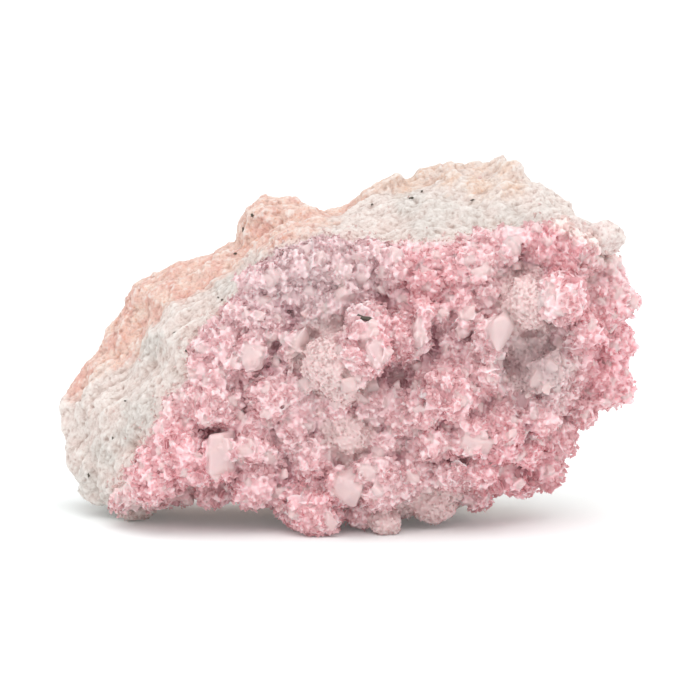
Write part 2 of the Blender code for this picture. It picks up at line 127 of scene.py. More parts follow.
# Pale crystals that stand between the rosettes: (across, up, width, height, lean in degrees).
CRYSTALS = [
    (-21.3, 13.6, 4.6, 6.9, 8), (-16.3, 14.4, 5.0, 3.3, -8), (-12.6, 13.9, 1.9, 1.7, 30),
    (-15.4, 30.9, 4.0, 4.0, 40), (-12.7, 34.5, 2.1, 2.2, 0), (-8.1, 32.9, 3.4, 3.3, 20),
    (-11.9, 43.5, 3.1, 3.1, 45), (-4.2, 46.1, 1.9, 2.1, 10), (0.2, 40.5, 2.4, 2.2, 30),
    (-0.2, 44.4, 2.1, 2.1, 0), (20.7, 37.4, 2.6, 2.4, 15), (16.3, 37.8, 2.4, 1.9, 0),
    (19.8, 35.0, 2.1, 2.2, 25), (21.2, 47.0, 2.2, 1.9, 40), (28.3, 49.0, 2.9, 2.9, 5),
    (22.9, 44.5, 2.4, 1.7, 20), (13.0, 35.6, 2.2, 6.0, -5), (5.7, 31.2, 3.8, 3.6, 35),
    (1.5, 26.0, 3.3, 2.6, 15), (3.6, 34.3, 3.8, 2.6, 0), (22.2, 15.7, 5.4, 4.3, 0),
    (0.2, 9.9, 4.8, 5.0, 12), (4.0, 11.2, 2.8, 3.1, 30), (25.5, 34.5, 4.1, 6.2, -6),
    (24.4, 29.0, 2.1, 5.2, 0), (32.6, 27.4, 3.6, 3.4, 25), (35.2, 29.2, 2.6, 2.3, 10),
    (-10.5, 8.2, 2.8, 1.9, 0),
    (45.9, 35.5, 2.4, 2.6, 20), (-6.4, 25.8, 2.1, 2.1, 45), (-18.9, 29.6, 2.2, 2.0, 20),
]

# Deep places between the rosettes: (across, up, radius, depth).
HOLLOWS = [
    (14.6, 32.2, 2.0, 1.8), (9.1, 27.3, 2.6, 1.6), (30.1, 45.4, 2.0, 1.6), (6.0, 40.2, 2.0, 1.4),
    (-10.7, 32.5, 1.6, 1.4), (-12.9, 29.1, 1.8, 1.4), (-19.8, 9.3, 2.0, 1.4), (-22.4, 17.9, 1.6, 1.2),
    (-10.3, 10.1, 1.8, 1.4), (18.1, 13.1, 2.0, 0.5), (31.3, 17.9, 1.8, 1.5), (30.4, 11.0, 2.0, 1.3),
    (-14.6, 38.2, 2.0, 1.3), (-8.6, 38.2, 2.2, 1.4), (28.0, 29.5, 2.2, 1.2), (35.5, 31.0, 2.4, 1.2),
]

# Faces in one piece of the druse, at most about this many.
PIECE_FACES = 170000

# Where the ledge at the right end begins, across.
LEDGE_FROM = 38.0

# The pale band of the crust along the ledge: its two ends as (across, up), and its half width.
LEDGE_BAND = ((36.5, 54.0), (47.5, 49.6), 2.4)

# Grey patches of the rock, and peach ones near its top: (across, up, radius).
GREY_PATCHES = [
    (-33.5, 32.5, 2.8), (-34.7, 21.0, 3.4), (-41.3, 13.6, 3.0), (-37.5, 17.0, 2.4), (-20.6, 43.3, 2.8),
    (11.5, 57.0, 3.4), (16.4, 55.5, 3.4), (22.0, 53.8, 3.2), (28.5, 54.0, 3.2), (34.5, 53.0, 3.0),
    (13.8, 52.5, 3.0), (39.0, 52.0, 2.4), (-40.0, 5.5, 4.0), (-44.5, 9.0, 3.0),
]
PEACH_PATCHES = [
    (8.0, 61.0, 3.4), (13.0, 62.5, 3.6), (18.0, 62.0, 3.6), (23.0, 60.5, 4.0), (29.0, 60.0, 3.6),
    (28.0, 63.0, 3.4),
]

# Dark specks in the rock, and last a dark lump that is painted shade in the knob's slit: (across, up, width,
# height).
SPECKS = [
    (-39.9, 16.5, 0.5, 0.6), (-29.2, 34.7, 0.7, 0.9), (-27.0, 31.6, 0.9, 0.5), (-21.0, 40.4, 0.5, 0.4),
    (-21.7, 40.8, 0.3, 0.3), (4.8, 56.9, 0.5, 0.5), (11.5, 58.0, 0.9, 0.6), (16.3, 56.9, 1.1, 0.4),
    (-16.0, 55.0, 0.6, 0.8), (-17.6, 52.5, 0.5, 1.1), (-18.9, 48.5, 0.7, 0.5), (-37.8, 23.0, 0.4, 0.4),
    (-44.2, 10.1, 0.5, 0.8), (13.4, 59.2, 0.5, 0.5), (22.0, 57.6, 0.8, 0.3), (4.0, 36.6, 3.0, 0.8),
]

# How the crust's colour changes over it: (across, up, radius, pink from -1 to 1, grey from 0 to 1).
TINTS = [
    (-28.0, 13.5, 7.0, 0.5, 0.0),  # the deep pink rosette of the left end
    (-30.0, 24.0, 5.0, -0.3, 0.1),  # the pale fringe along the bare rock
    (-7.0, 43.0, 9.0, 0.1, 0.9),  # the mauve druse of the upper left
    (4.0, 44.0, 5.0, 0.0, 0.7),
    (-12.0, 26.0, 8.0, 0.2, 0.3),
    (-3.0, 28.0, 5.0, -0.5, 0.1),  # the frosted side of the middle knob
    (5.0, 33.0, 4.5, 0.35, 0.0),  # its petals
    (14.0, 42.0, 6.0, 0.4, 0.0),
    (16.0, 33.0, 4.0, 0.2, 0.5),
    (31.0, 41.0, 4.5, -0.5, 0.1),  # the frosted side of the right cluster
    (39.0, 42.0, 5.0, 0.25, 0.0),
    (36.0, 49.0, 4.0, 0.8, 0.0),  # deep pink under the ledge
    (46.0, 30.0, 7.0, 0.8, 0.1),
    (33.5, 29.0, 5.0, -0.1, 0.9),  # the grey hollow
    (18.0, 24.0, 6.0, 0.2, 0.1),
    (0.0, 17.0, 6.0, 0.1, 0.4),
    (30.0, 12.0, 7.0, 0.7, 0.1),
    (-5.0, 6.0, 5.0, 0.4, 0.0),
    (-16.0, 8.0, 5.0, 0.5, 0.3),
]


def linear(code):
    """A hex colour, as sRGB, turned to linear RGBA."""
    parts = [int(code[i:i + 2], 16) / 255 for i in (1, 3, 5)]
    return (*[c / 12.92 if c <= 0.04045 else ((c + 0.055) / 1.055) ** 2.4 for c in parts], 1.0)


def colour_of(name, description, code):
    """The property of a colour."""
    return bpy.props.FloatVectorProperty(
        name=name, description=description, subtype="COLOR", size=4, min=0, max=1, default=linear(code))


def length_of(name, description, default, least, most):
    """The property of a length, given in millimetres."""
    return bpy.props.FloatProperty(
        name=name, description=description, default=default * MM, min=least * MM, max=most * MM,
        subtype="DISTANCE", unit="LENGTH")


def share_of(name, description, default):
    """The property of a share of the whole."""
    return bpy.props.FloatProperty(
        name=name, description=description, default=default, min=0.1, max=1, subtype="FACTOR")


class SpecimenColours(bpy.types.PropertyGroup):
    """Colours of the crust and the rock."""

    # Painted highlight on the plates' rims and raised tops, also laid on as random pale mottle.
    highlight_and_mottle: colour_of("Plate edge", "Thin, frosted rim of a plate", "#F5E3E2")
    petal_face: colour_of("Plate face", "Face of a plate", "#F5D8DA")
    # Painted shade deep between the plates.
    shade_between_plates: colour_of("Plate root", "Deep between the plates", "#C38490")
    deep_pink: colour_of("Deep pink", "Where the crust is richest in manganese", "#F2B2BB")
    mauve_grey: colour_of("Mauve grey", "Where the crust is grey", "#D7C1C3")
    # Painted shade deep between the crystals where the crust is grey.
    grey_shade_between_crystals: colour_of("Mauve root", "Deep between the crystals where the crust is grey", "#C4A9AD")
    frost: colour_of("Frosted lobes", "Rosettes of plates too small to tell apart", "#D9C0BD")
    grey_frost: colour_of("Grey frost", "Frosted lobes where the crust is grey", "#998284")
    pale_crystal: colour_of("Pale crystal", "The larger, nearly white crystals", "#CFBABA")
    cream: colour_of("Cream crust", "The crust where it borders on the rock", "#F1E1DC")
    rock_white: colour_of("Rock", "The rock's white bands", "#E8DCD6")
    rock_beige: colour_of("Rock lumps", "Beige parts of the white bands", "#E6D3CC")
    rock_sugar: colour_of("Rock sugar", "Thin sugary streaks", "#F6EEE8")
    rock_shade: colour_of("Rock shade", "Thin darker streaks", "#CFBDB5")
    rock_streak: colour_of("Rock streaks", "The rock's blue-grey bands", "#D6D0CA")
    rock_cream: colour_of("Rock cream", "The rock's right half", "#EEE5DF")
    rock_salmon: colour_of("Rock back", "The rock's salmon back", "#E6B7A6")
    salmon_pale: colour_of("Pale salmon", "Its paler parts", "#F0D7CB")
    salmon_rose: colour_of("Rose salmon", "Its pinker parts", "#E6B5AA")
    salmon_sugar: colour_of("Salmon sugar", "Its pale grains", "#F3D9C8")
    salmon_grain: colour_of("Salmon grains", "Its orange grains", "#DDA083")
    peach: colour_of("Peach", "The back's right half", "#E9D3C3")
    peach_grain: colour_of("Peach grains", "Its brown grains", "#D8AC8F")
    border: colour_of("Border", "The rock next to the crust", "#EFD9D6")
    # Painted shade in the low pits of the grain bump.
    pit_shade: colour_of("Pits", "Dark between the rock's grains", "#C7B1A8")
    # Painted shade low between the rock's granules, and painted highlight on their tops.
    granule_shade: colour_of("Low parts", "Low between the rock's granules", "#C4AFA8")
    granule_highlight: colour_of("High parts", "Tops of the rock's granules", "#FBF5F0")
    oxide_dark: colour_of("Dark oxide", "The dark specks", "#3C3A34")
    oxide_brown: colour_of("Brown oxide", "Their weathered parts", "#6E6458")


class SpecimenSizes(bpy.types.PropertyGroup):
    """Sizes of what grows on the crust, and how fine the meshes are."""

    plate_edge: length_of("Plate edge", "Length of a plate's edge", 1.7, 0.5, 5)
    cluster_spacing: length_of("Cluster spacing", "Distance between clusters of plates", 1.55, 0.8, 6)
    druse_grain: length_of("Druse grain", "Size of the faces that fuse the druse", 0.19, 0.15, 2)
    druse_share: share_of("Druse faces kept", "Share of those faces that is kept", 0.44)
    plate_spacing: length_of("Plate spacing", "Distance between the books of large plates", 2.8, 1.0, 8)
    flake_spacing: length_of("Flake spacing", "Distance between the crust's small flakes", 0.46, 0.2, 3)
    rock_grain: length_of("Rock grain", "Size of the faces of the rock's skin", 0.38, 0.3, 3)
    rock_share: share_of("Rock faces kept", "Share of those faces that is kept", 0.6)


def add_node(tree, kind, settings=(), inputs=()):
    """Add a node, set its properties, and set or link its inputs, which are named or numbered."""
    made = tree.nodes.new(kind)
    for key, value in dict(settings).items():
        setattr(made, key, value)
    for key, value in dict(inputs).items():
        if isinstance(value, bpy.types.NodeSocket):
            tree.links.new(value, made.inputs[key])
        else:
            made.inputs[key].default_value = value
    return made


def new_material(name):
    """A material with a Principled shader, as (material, its tree, the shader)."""
    made = bpy.data.materials.new(name)
    made.use_nodes = True
    return made, made.node_tree, made.node_tree.nodes["Principled BSDF"]


def layered(tree, base, layers):
    """Colours laid over one another, as a socket.

    Each layer is (value, the range of it that brings the layer in, how much there is at both its ends, colour),
    and its blend where that isn't a plain mix. A colour is a socket, or the name of one of the specimen's."""
    colours = bpy.context.scene.specimen_colours
    for value, (low, high), (least, most), colour, *blend in layers:
        amount = add_node(tree, "ShaderNodeMapRange", {"clamp": True}, {
            "Value": value, "From Min": low, "From Max": high, "To Min": least, "To Max": most})
        under, over = (list(getattr(colours, one)) if isinstance(one, str) else one for one in (base, colour))
        mix = add_node(tree, "ShaderNodeMix", {"data_type": "RGBA", "blend_type": (*blend, "MIX")[0]}, {
            0: amount.outputs[0], 6: under, 7: over})
        base = mix.outputs[2]
    return base


def seen(across, up, depth):
    """The point, in millimetres, that is seen at that place, at that depth."""
    height = (up - (depth - FEET_DEPTH) * math.sin(VIEW_TILT)) / math.cos(VIEW_TILT)
    return Vector((across + ORIGIN_SHIFT[0], depth + ORIGIN_SHIFT[1], height))


def seen_place(points):
    """The (across, up) of points in millimetres, the other way round."""
    depth = points[:, 1] - ORIGIN_SHIFT[1] - FEET_DEPTH
    up = points[:, 2] * math.cos(VIEW_TILT) + depth * math.sin(VIEW_TILT)
    return np.column_stack((points[:, 0] - ORIGIN_SHIFT[0], up))


def normalised(vectors):
    """Rows brought to length one."""
    return vectors / np.maximum(np.linalg.norm(vectors, axis=1, keepdims=True), 1e-9)


def inside_box(points):
    """Points in millimetres, held within the solids' own box."""
    low, high = (np.array(corner) / MM for corner in CAD_BOX)
    return np.clip(points, low + 0.02, high - 0.02)


def mesh_object(name, points, faces, smooth, colour=None):
    """An object from arrays: points in millimetres, and faces that all have the same number of corners."""
    mesh = bpy.data.meshes.new(name)
    count, corners = faces.shape
    mesh.vertices.add(len(points))
    mesh.vertices.foreach_set("co", (inside_box(points) * MM).astype(np.float32).ravel())
    mesh.loops.add(count * corners)
    mesh.loops.foreach_set("vertex_index", faces.astype(np.int32).ravel())
    mesh.polygons.add(count)
    mesh.polygons.foreach_set("loop_start", np.arange(0, count * corners, corners, dtype=np.int32))
    mesh.polygons.foreach_set("use_smooth", np.broadcast_to(smooth, count).astype(bool))
    if colour is not None:
        paint(mesh, colour)
    mesh.update(calc_edges=True)
    mesh.validate()
    made = bpy.data.objects.new(name, mesh)
    bpy.context.scene.collection.objects.link(made)
    return made


def paint(mesh, colour):
    """Give each vertex the four values that the materials read as "growth"."""
    layer = mesh.attributes.new("growth", "FLOAT_COLOR", "POINT")
    layer.data.foreach_set("color", colour.astype(np.float32).ravel())


def finish_piece(piece, material, slot, *nodes):
    """Give a piece its material and its place on the frame."""
    piece.data.materials.clear()
    piece.data.materials.append(material)
    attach(piece, "root")
    if nodes:
        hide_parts(*nodes)


def cad_surface(node):
    """A search tree over a solid, in millimetres."""
    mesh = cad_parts[node].data
    mesh.calc_loop_triangles()
    points = [Vector(vertex.co) / MM for vertex in mesh.vertices]
    return BVHTree.FromPolygons(points, [tuple(face.vertices) for face in mesh.loop_triangles])


@functools.cache
def rock_tree():
    """The rock's solid, to be searched."""
    return cad_surface(ROCK)


@functools.cache
def crust_tree():
    """The crust's solid, to be searched."""
    return cad_surface(CRUST)


def fine_skin(node, voxel):
    """A solid's mesh, rebuilt with small even faces: (object, points in mm, normals, edges)."""
    model = bmesh.new()
    model.from_mesh(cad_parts[node].data)
    bmesh.ops.remove_doubles(model, verts=model.verts, dist=0.001 * MM)
    mesh = bpy.data.meshes.new(node + "_skin")
    model.to_mesh(mesh)
    model.free()
    mesh.transform(Matrix.Scale(1 / MM, 4))
    made = bpy.data.objects.new(node + "_skin", mesh)
    bpy.context.scene.collection.objects.link(made)
    skin = made.modifiers.new("skin", "REMESH")
    skin.mode = "VOXEL"
    skin.voxel_size = voxel
    graph = bpy.context.evaluated_depsgraph_get()
    fine = bpy.data.meshes.new_from_object(made.evaluated_get(graph))
    bpy.data.objects.remove(made)
    return fine


def arrays_of(mesh):
    """Points, normals and edges of a mesh."""
    points = np.empty(len(mesh.vertices) * 3)
    mesh.vertices.foreach_get("co", points)
    normals = np.empty(len(mesh.vertices) * 3, np.float32)
    mesh.vertex_normals.foreach_get("vector", normals)
    edges = np.empty(len(mesh.edges) * 2, np.int32)
    mesh.edges.foreach_get("vertices", edges)
    return points.reshape(-1, 3), normals.reshape(-1, 3).astype(float), edges.reshape(-1, 2)


def evened(values, edges, rounds):
    """Each row turned to the mean of its neighbours, several times."""
    count = np.bincount(edges.ravel(), minlength=len(values))[:, None]
    for _ in range(rounds):
        total = np.zeros_like(values)
        np.add.at(total, edges[:, 0], values[edges[:, 1]])
        np.add.at(total, edges[:, 1], values[edges[:, 0]])
        values = 0.5 * values + 0.5 * total / np.maximum(count, 1)
    return values


def noise_at(points, size, seed=0.0):
    """Smooth noise from -1 to 1 at each point, with lumps of that size."""
    shift = Vector((seed * 17.3, seed * 5.1, seed * 29.7))
    return np.array([noise.noise(Vector(point) / size + shift) for point in points])


def distances(points, tree, most):
    """How far each point is from a surface, and the given most where it is further."""
    found = (tree.find_nearest(Vector(point), most)[3] for point in points)
    return np.array([most if far is None else far for far in found])


def turned_to_bands(points):
    """Points in the directions of the rock's bands: along them, out of the rock, and across them."""
    along = np.array((math.cos(BAND_SLOPE), 0, math.sin(BAND_SLOPE)))
    across = np.array((-math.sin(BAND_SLOPE), 0, math.cos(BAND_SLOPE)))
    return np.column_stack((points @ along, points[:, 1], points @ across))


def thinned(points, spacing, order):
    """The indices of points that are at least that far apart, taken in the given order."""
    taken = {}
    kept = []
    cells = np.floor(points / spacing).astype(int)
    for index in order:
        x, y, z = cells[index]
        near = (
            other
            for i in (x - 1, x, x + 1) for j in (y - 1, y, y + 1) for k in (z - 1, z, z + 1)
            for other in taken.get((i, j, k), ())
        )
        point = points[index]
        if all(((points[other] - point) ** 2).sum() >= spacing * spacing for other in near):
            taken.setdefault((x, y, z), []).append(index)
            kept.append(index)
    return np.array(kept)


def place_on_crust(across, up):
    """Where the line of sight at that place meets the crust's solid, and the way out of it."""
    point, normal, _, _ = crust_tree().ray_cast(seen(across, up, SIGHT_START), SIGHT)
    if point is None:
        point, normal, _, _ = crust_tree().find_nearest(seen(across, up, -4))
    return point, (normal - SIGHT).normalized()


@functools.cache
def rosette_centres():
    """The middle of each rosette in millimetres, with its radius."""
    centres = []
    for across, up, radius, _, _ in ROSETTES:
        point, outward = place_on_crust(across, up)
        centres.append((*(point - outward * radius), radius))
    return np.array(centres)


@functools.cache
def crust_skin():
    """The crust's fine skin in millimetres.

    It gives the mesh, its points and even normals, which are in the open, and how far each stands out."""
    mesh = fine_skin(CRUST, 0.5)
    points, normals, edges = arrays_of(mesh)
    even = normalised(evened(normals, edges, 6))
    relief = ((points - evened(points, edges, 60)) * normalised(evened(normals, edges, 40))).sum(axis=1)
    relief = np.clip(evened(relief[:, None], edges, 3)[:, 0] / 0.9, -1, 1)
    tree = rock_tree()
    exposed = np.ones(len(points), bool)
    for i, (point, normal) in enumerate(zip(points, even)):
        _, _, _, gap = tree.find_nearest(Vector(point), 3.0)
        if gap is not None:
            hit, _, _, _ = tree.ray_cast(Vector(point), Vector(normal), 4.0)
            exposed[i] = hit is None and gap > 0.25
    return mesh, points, even, exposed, relief


def tint_at(points):
    """How pink and how grey the crust is at each point."""
    places = seen_place(points)
    weight = np.full(len(points), 0.35)
    pink = np.zeros(len(points))
    grey = np.full(len(points), 0.35 * 0.2)
    for across, up, radius, own_pink, own_grey in TINTS:
        near = np.exp(-(((places - (across, up)) / radius) ** 2).sum(axis=1))
        weight += near
        pink += near * own_pink
        grey += near * own_grey
    return pink / weight, grey / weight


def kind_at(points, kind):
    """How much each point belongs to rosettes of that kind, from 0 to 1."""
    centres = rosette_centres()
    share = np.zeros(len(points))
    best = np.full(len(points), 9.0)
    for (x, y, z, radius), (_, _, _, _, own) in zip(centres, ROSETTES):
        far = np.linalg.norm(points - (x, y, z), axis=1) / radius
        nearer = far < best
        best = np.where(nearer, far, best)
        share = np.where(nearer, float(own == kind) * (far < 1.35), share)
    return share


def away_from_rosettes(points, normals):
    """The way that crystals grow at each point: out of the surface, and away from a rosette's middle."""
    centres = rosette_centres()
    best = np.full(len(points), 9.0)
    radial = normals.copy()
    for x, y, z, radius in centres:
        offset = points - (x, y, z)
        far = np.linalg.norm(offset, axis=1) / radius
        nearer = (far < best) & (far < 1.5)
        best = np.where(nearer, far, best)
        radial = np.where(nearer[:, None], normalised(offset), radial)
    return normalised(0.7 * normals + 0.6 * radial)


def cream_at(points):
    """How much each point is of the pale crust that borders on the rock, from 0 to 1."""
    start, end = np.array(LEDGE_BAND[0]), np.array(LEDGE_BAND[1])
    way = end - start
    offset = seen_place(points) - start
    along = np.clip(offset @ way / (way @ way), 0, 1)
    off_band = np.linalg.norm(offset - along[:, None] * way, axis=1)
    to_rock = distances(points, rock_tree(), 4.0)
    return np.maximum(np.exp(-(off_band / LEDGE_BAND[2]) ** 4), 0.6 * np.exp(-(to_rock / 1.0) ** 2))


@functools.cache
def crystal_places():
    """Each pale crystal that stands between the rosettes: (point, way out, width, height, lean)."""
    placed = [(*place_on_crust(across, up), *shape) for across, up, *shape in CRYSTALS]
    rng = np.random.default_rng(31)
    _, points, even, exposed, relief = crust_skin()
    _, grey = tint_at(points)
    usable = np.flatnonzero(exposed & (kind_at(points, "frost") < 0.5))
    usable = usable[rng.random(len(usable)) < 0.15 + grey[usable]]
    usable = usable[thinned(points[usable], 3.1, rng.permutation(len(usable)))]
    for index in usable:
        size = rng.uniform(0.9, 1.5) * rng.uniform(0.9, 1.5)
        out = Vector(even[index])
        height, lean = size * rng.uniform(0.8, 1.3), rng.uniform(0, 90)
        placed.append((Vector(points[index]) + 0.1 * out, out, size, height, lean))
    return placed


def clear_of_crystals(points):
    """Whether each point is clear of the pale crystals."""
    clear = np.ones(len(points), bool)
    for point, _, width, height, _ in crystal_places():
        clear &= np.linalg.norm(points - point, axis=1) > 0.27 * (width + height)
    return clear


# The grid of a plate: places along its two edges, from -1 to 1, and the faces between them.
GRID = np.array([(s, t) for s in (-1, 0, 1) for t in (-1, 0, 1)], float)
RIM = [0, 3, 6, 7, 8, 5, 2, 1]


def plate_faces():
    """Faces of one plate: its top, its bottom, and its rim last."""
    faces = []
    for s in (0, 1):
        for t in (0, 1):
            i = 3 * s + t
            faces.append((i, i + 1, i + 4, i + 3))
            faces.append((i + 9, i + 12, i + 13, i + 10))
    for a, b in zip(RIM, RIM[1:] + RIM[:1]):
        faces.append((a, b, b + 9, a + 9))
    return np.array(faces)


def plates(centres, up, normal, half, thickness, open_angle, bend, twist, spin, rng):
    """Points of curved rhombic plates, as (plate, point, xyz)."""
    across = np.cross(normal, up)
    turned = up * np.cos(spin)[:, None] + across * np.sin(spin)[:, None]
    across = np.cross(normal, turned)
    edge_1 = (turned * np.cos(open_angle)[:, None] + across * np.sin(open_angle)[:, None]) * half[:, None]
    edge_2 = (turned * np.cos(open_angle)[:, None] - across * np.sin(open_angle)[:, None]) * half[:, None]
    count = len(centres)
    s = GRID[None, :, 0] + rng.uniform(-0.16, 0.16, (count, 9))
    t = GRID[None, :, 1] + rng.uniform(-0.16, 0.16, (count, 9))
    middle_of_edge = (np.abs(GRID).sum(axis=1) == 1)[None, :]
    s = np.where(middle_of_edge, s * 1.14, s)
    t = np.where(middle_of_edge, t * 1.14, t)
    lift = bend[:, None] * (s * s + t * t - 1) + twist[:, None] * s * t
    flat = centres[:, None] + s[..., None] * edge_1[:, None] + t[..., None] * edge_2[:, None]
    flat += (lift * half[:, None])[..., None] * normal[:, None]
    thin = thickness[:, None] * (1 - 0.45 * np.abs(GRID).max(axis=1))[None, :]
    offset = 0.5 * thin[..., None] * normal[:, None]
    return np.concatenate((flat + offset, flat - offset), axis=1)


# The grid of a petal: (along, across), from the root to the tip and from side to side.
PETAL = np.array([(r, c) for r in (-1.0, 0.15, 1.0) for c in (-1.0, -0.5, 0.0, 0.5, 1.0)])
PETAL_RIM = [0, 1, 2, 3, 4, 9, 14, 13, 12, 11, 10, 5]


def petal_faces():
    """Faces of one petal: its top, its bottom, and its rim last."""
    faces = []
    for r in (0, 1):
        for c in range(4):
            i = 5 * r + c
            faces.append((i, i + 5, i + 6, i + 1))
            faces.append((i + 15, i + 16, i + 21, i + 20))
    for a, b in zip(PETAL_RIM, PETAL_RIM[1:] + PETAL_RIM[:1]):
        faces.append((a, b, b + 15, a + 15))
    return np.array(faces)


def petals(centres, up, normal, half, thickness, bend, cup, spin, rng):
    """Points of thin petals with a wavy edge, as (petal, point, xyz)."""
    count = len(centres)
    across = np.cross(normal, up)
    turned = up * np.cos(spin)[:, None] + across * np.sin(spin)[:, None]
    across = np.cross(normal, turned)
    r, c = PETAL[None, :, 0], PETAL[None, :, 1]
    width = np.where(r < 0, 0.6, np.where(r < 0.5, 1.05, 0.85))
    x = c * width * rng.uniform(0.8, 1.2, (count, 1)) + rng.uniform(-0.08, 0.08, (count, 15))
    peak = rng.uniform(-0.5, 0.5, (count, 1))
    y = r - (r > 0.5) * 0.4 * (c - peak) ** 2 + rng.uniform(-0.1, 0.1, (count, 15))
    rise = 0.5 * (r + 1)
    wave = np.sin(c * rng.uniform(1.5, 3.4, (count, 1)) + rng.uniform(0, math.tau, (count, 1)))
    z = bend[:, None] * rise * rise + cup[:, None] * c * c + 0.24 * rise * wave
    flat = centres[:, None] + half[:, None, None] * (
        x[..., None] * across[:, None] + y[..., None] * turned[:, None] + z[..., None] * normal[:, None])
    thin = thickness[:, None] * (1 - 0.45 * rise)
    offset = 0.5 * thin[..., None] * normal[:, None]
    return np.concatenate((flat + offset, flat - offset), axis=1)


def random_across(outs, rng):
    """A random direction square to each given one."""
    way = rng.normal(size=outs.shape)
    way -= (way * outs).sum(axis=1)[:, None] * outs
    return normalised(way)


def grow_clusters(points, outs, size, frilly, rng):
    """Books, roses and scales of plates on the given places, as (points, seeds, heights out of the skin)."""
    count = len(points)
    style = rng.random(count)
    book = style < 0.5
    number = np.where(book, rng.integers(5, 9, count), rng.integers(4, 8, count))
    seed = np.repeat(np.arange(count), number)
    first = np.concatenate(([0], np.cumsum(number)[:-1]))
    step = np.arange(len(seed)) - first[seed]
    place = step - 0.5 * (number[seed] - 1)
    total = len(seed)
    out = outs[seed]
    side = random_across(outs, rng)[seed]
    third = np.cross(out, side)
    scale = size[seed] * rng.uniform(0.7, 1.25, total)
    half = 0.5 * scale
    # a book: plates side by side, fanned a little
    fan = rng.uniform(0.06, 0.2, count)[seed]
    lean = rng.uniform(-0.5, 0.5, count)[seed] + fan * place + rng.normal(0, 0.12, total)
    book_normal = np.cos(lean)[:, None] * side - np.sin(lean)[:, None] * out
    book_up = np.cos(lean)[:, None] * out + np.sin(lean)[:, None] * side
    pitch = rng.uniform(0.24, 0.42, count)[seed]
    book_offset = side * (pitch * place)[:, None] + third * rng.normal(0, 0.25, total)[:, None]
    # a rose: plates round the way out, leaning away from it
    angle = math.tau * step / number[seed] + rng.uniform(0, math.tau, count)[seed] + rng.normal(0, 0.3, total)
    radial = np.cos(angle)[:, None] * side + np.sin(angle)[:, None] * third
    tilt = np.where(style < 0.78, rng.uniform(0.9, 1.4, count), rng.uniform(0.3, 0.8, count))[seed]
    tilt = tilt + rng.normal(0, 0.15, total)
    rose_normal = np.cos(tilt)[:, None] * out + np.sin(tilt)[:, None] * radial
    rose_up = np.sin(tilt)[:, None] * out - np.cos(tilt)[:, None] * radial
    rose_offset = radial * (scale * rng.uniform(0.25, 0.6, total))[:, None]
    is_book = book[seed][:, None]
    normal = normalised(np.where(is_book, book_normal, rose_normal))
    up = normalised(np.where(is_book, book_up, rose_up))
    offset = np.where(is_book, book_offset, rose_offset)
    reach = np.where(book[seed], rng.uniform(-0.6, 0.3, total), rng.uniform(-0.7, 0.1, total))
    stand = (1.05 if frilly else 1.41) * half * np.abs((up * out).sum(axis=1))
    centre = points[seed] + offset + out * (reach - stand)[:, None]
    if frilly:
        shape = petals(
            centre, up, normal, half * 1.15, rng.uniform(0.16, 0.28, total),
            rng.normal(0, 0.4, total), rng.normal(0, 0.25, total), rng.normal(0, 0.4, total), rng)
    else:
        shape = plates(
            centre, up, normal, half, rng.uniform(0.2, 0.4, total), rng.uniform(0.66, 0.9, total),
            rng.normal(0, 0.14, total), rng.normal(0, 0.16, total), rng.normal(0, 0.35, total), rng)
    tip = ((shape - points[seed][:, None]) * out[:, None]).sum(axis=2)
    return shape, seed, tip


@functools.cache
def worn_box():
    """A box with worn edges: its points, and its triangles."""
    model = bmesh.new()
    bmesh.ops.create_cube(model, size=1)
    bmesh.ops.bevel(model, geom=model.edges[:], offset=0.12, segments=1, affect="EDGES")
    bmesh.ops.triangulate(model, faces=model.faces)
    points = np.array([vertex.co for vertex in model.verts])
    faces = np.array([[vertex.index for vertex in face.verts] for face in model.faces])
    model.free()
    return points, faces


def rhombs(centres, up, side, sizes, lean):
    """Points of sheared boxes, as (box, point, xyz)."""
    third = np.cross(up, side)
    local = worn_box()[0][None] * sizes[:, None]
    local[..., 0] += lean[:, None] * local[..., 1] + 0.5 * lean[:, None] * local[..., 2]
    local[..., 1] += 0.4 * lean[:, None] * local[..., 2]
    return centres[:, None] + (
        local[..., :1] * side[:, None] + local[..., 1:2] * third[:, None] + local[..., 2:] * up[:, None])


def repeated(faces, count, points_each):
    """The faces of many copies of one shape."""
    return (faces[None] + points_each * np.arange(count)[:, None, None]).reshape(-1, faces.shape[1])


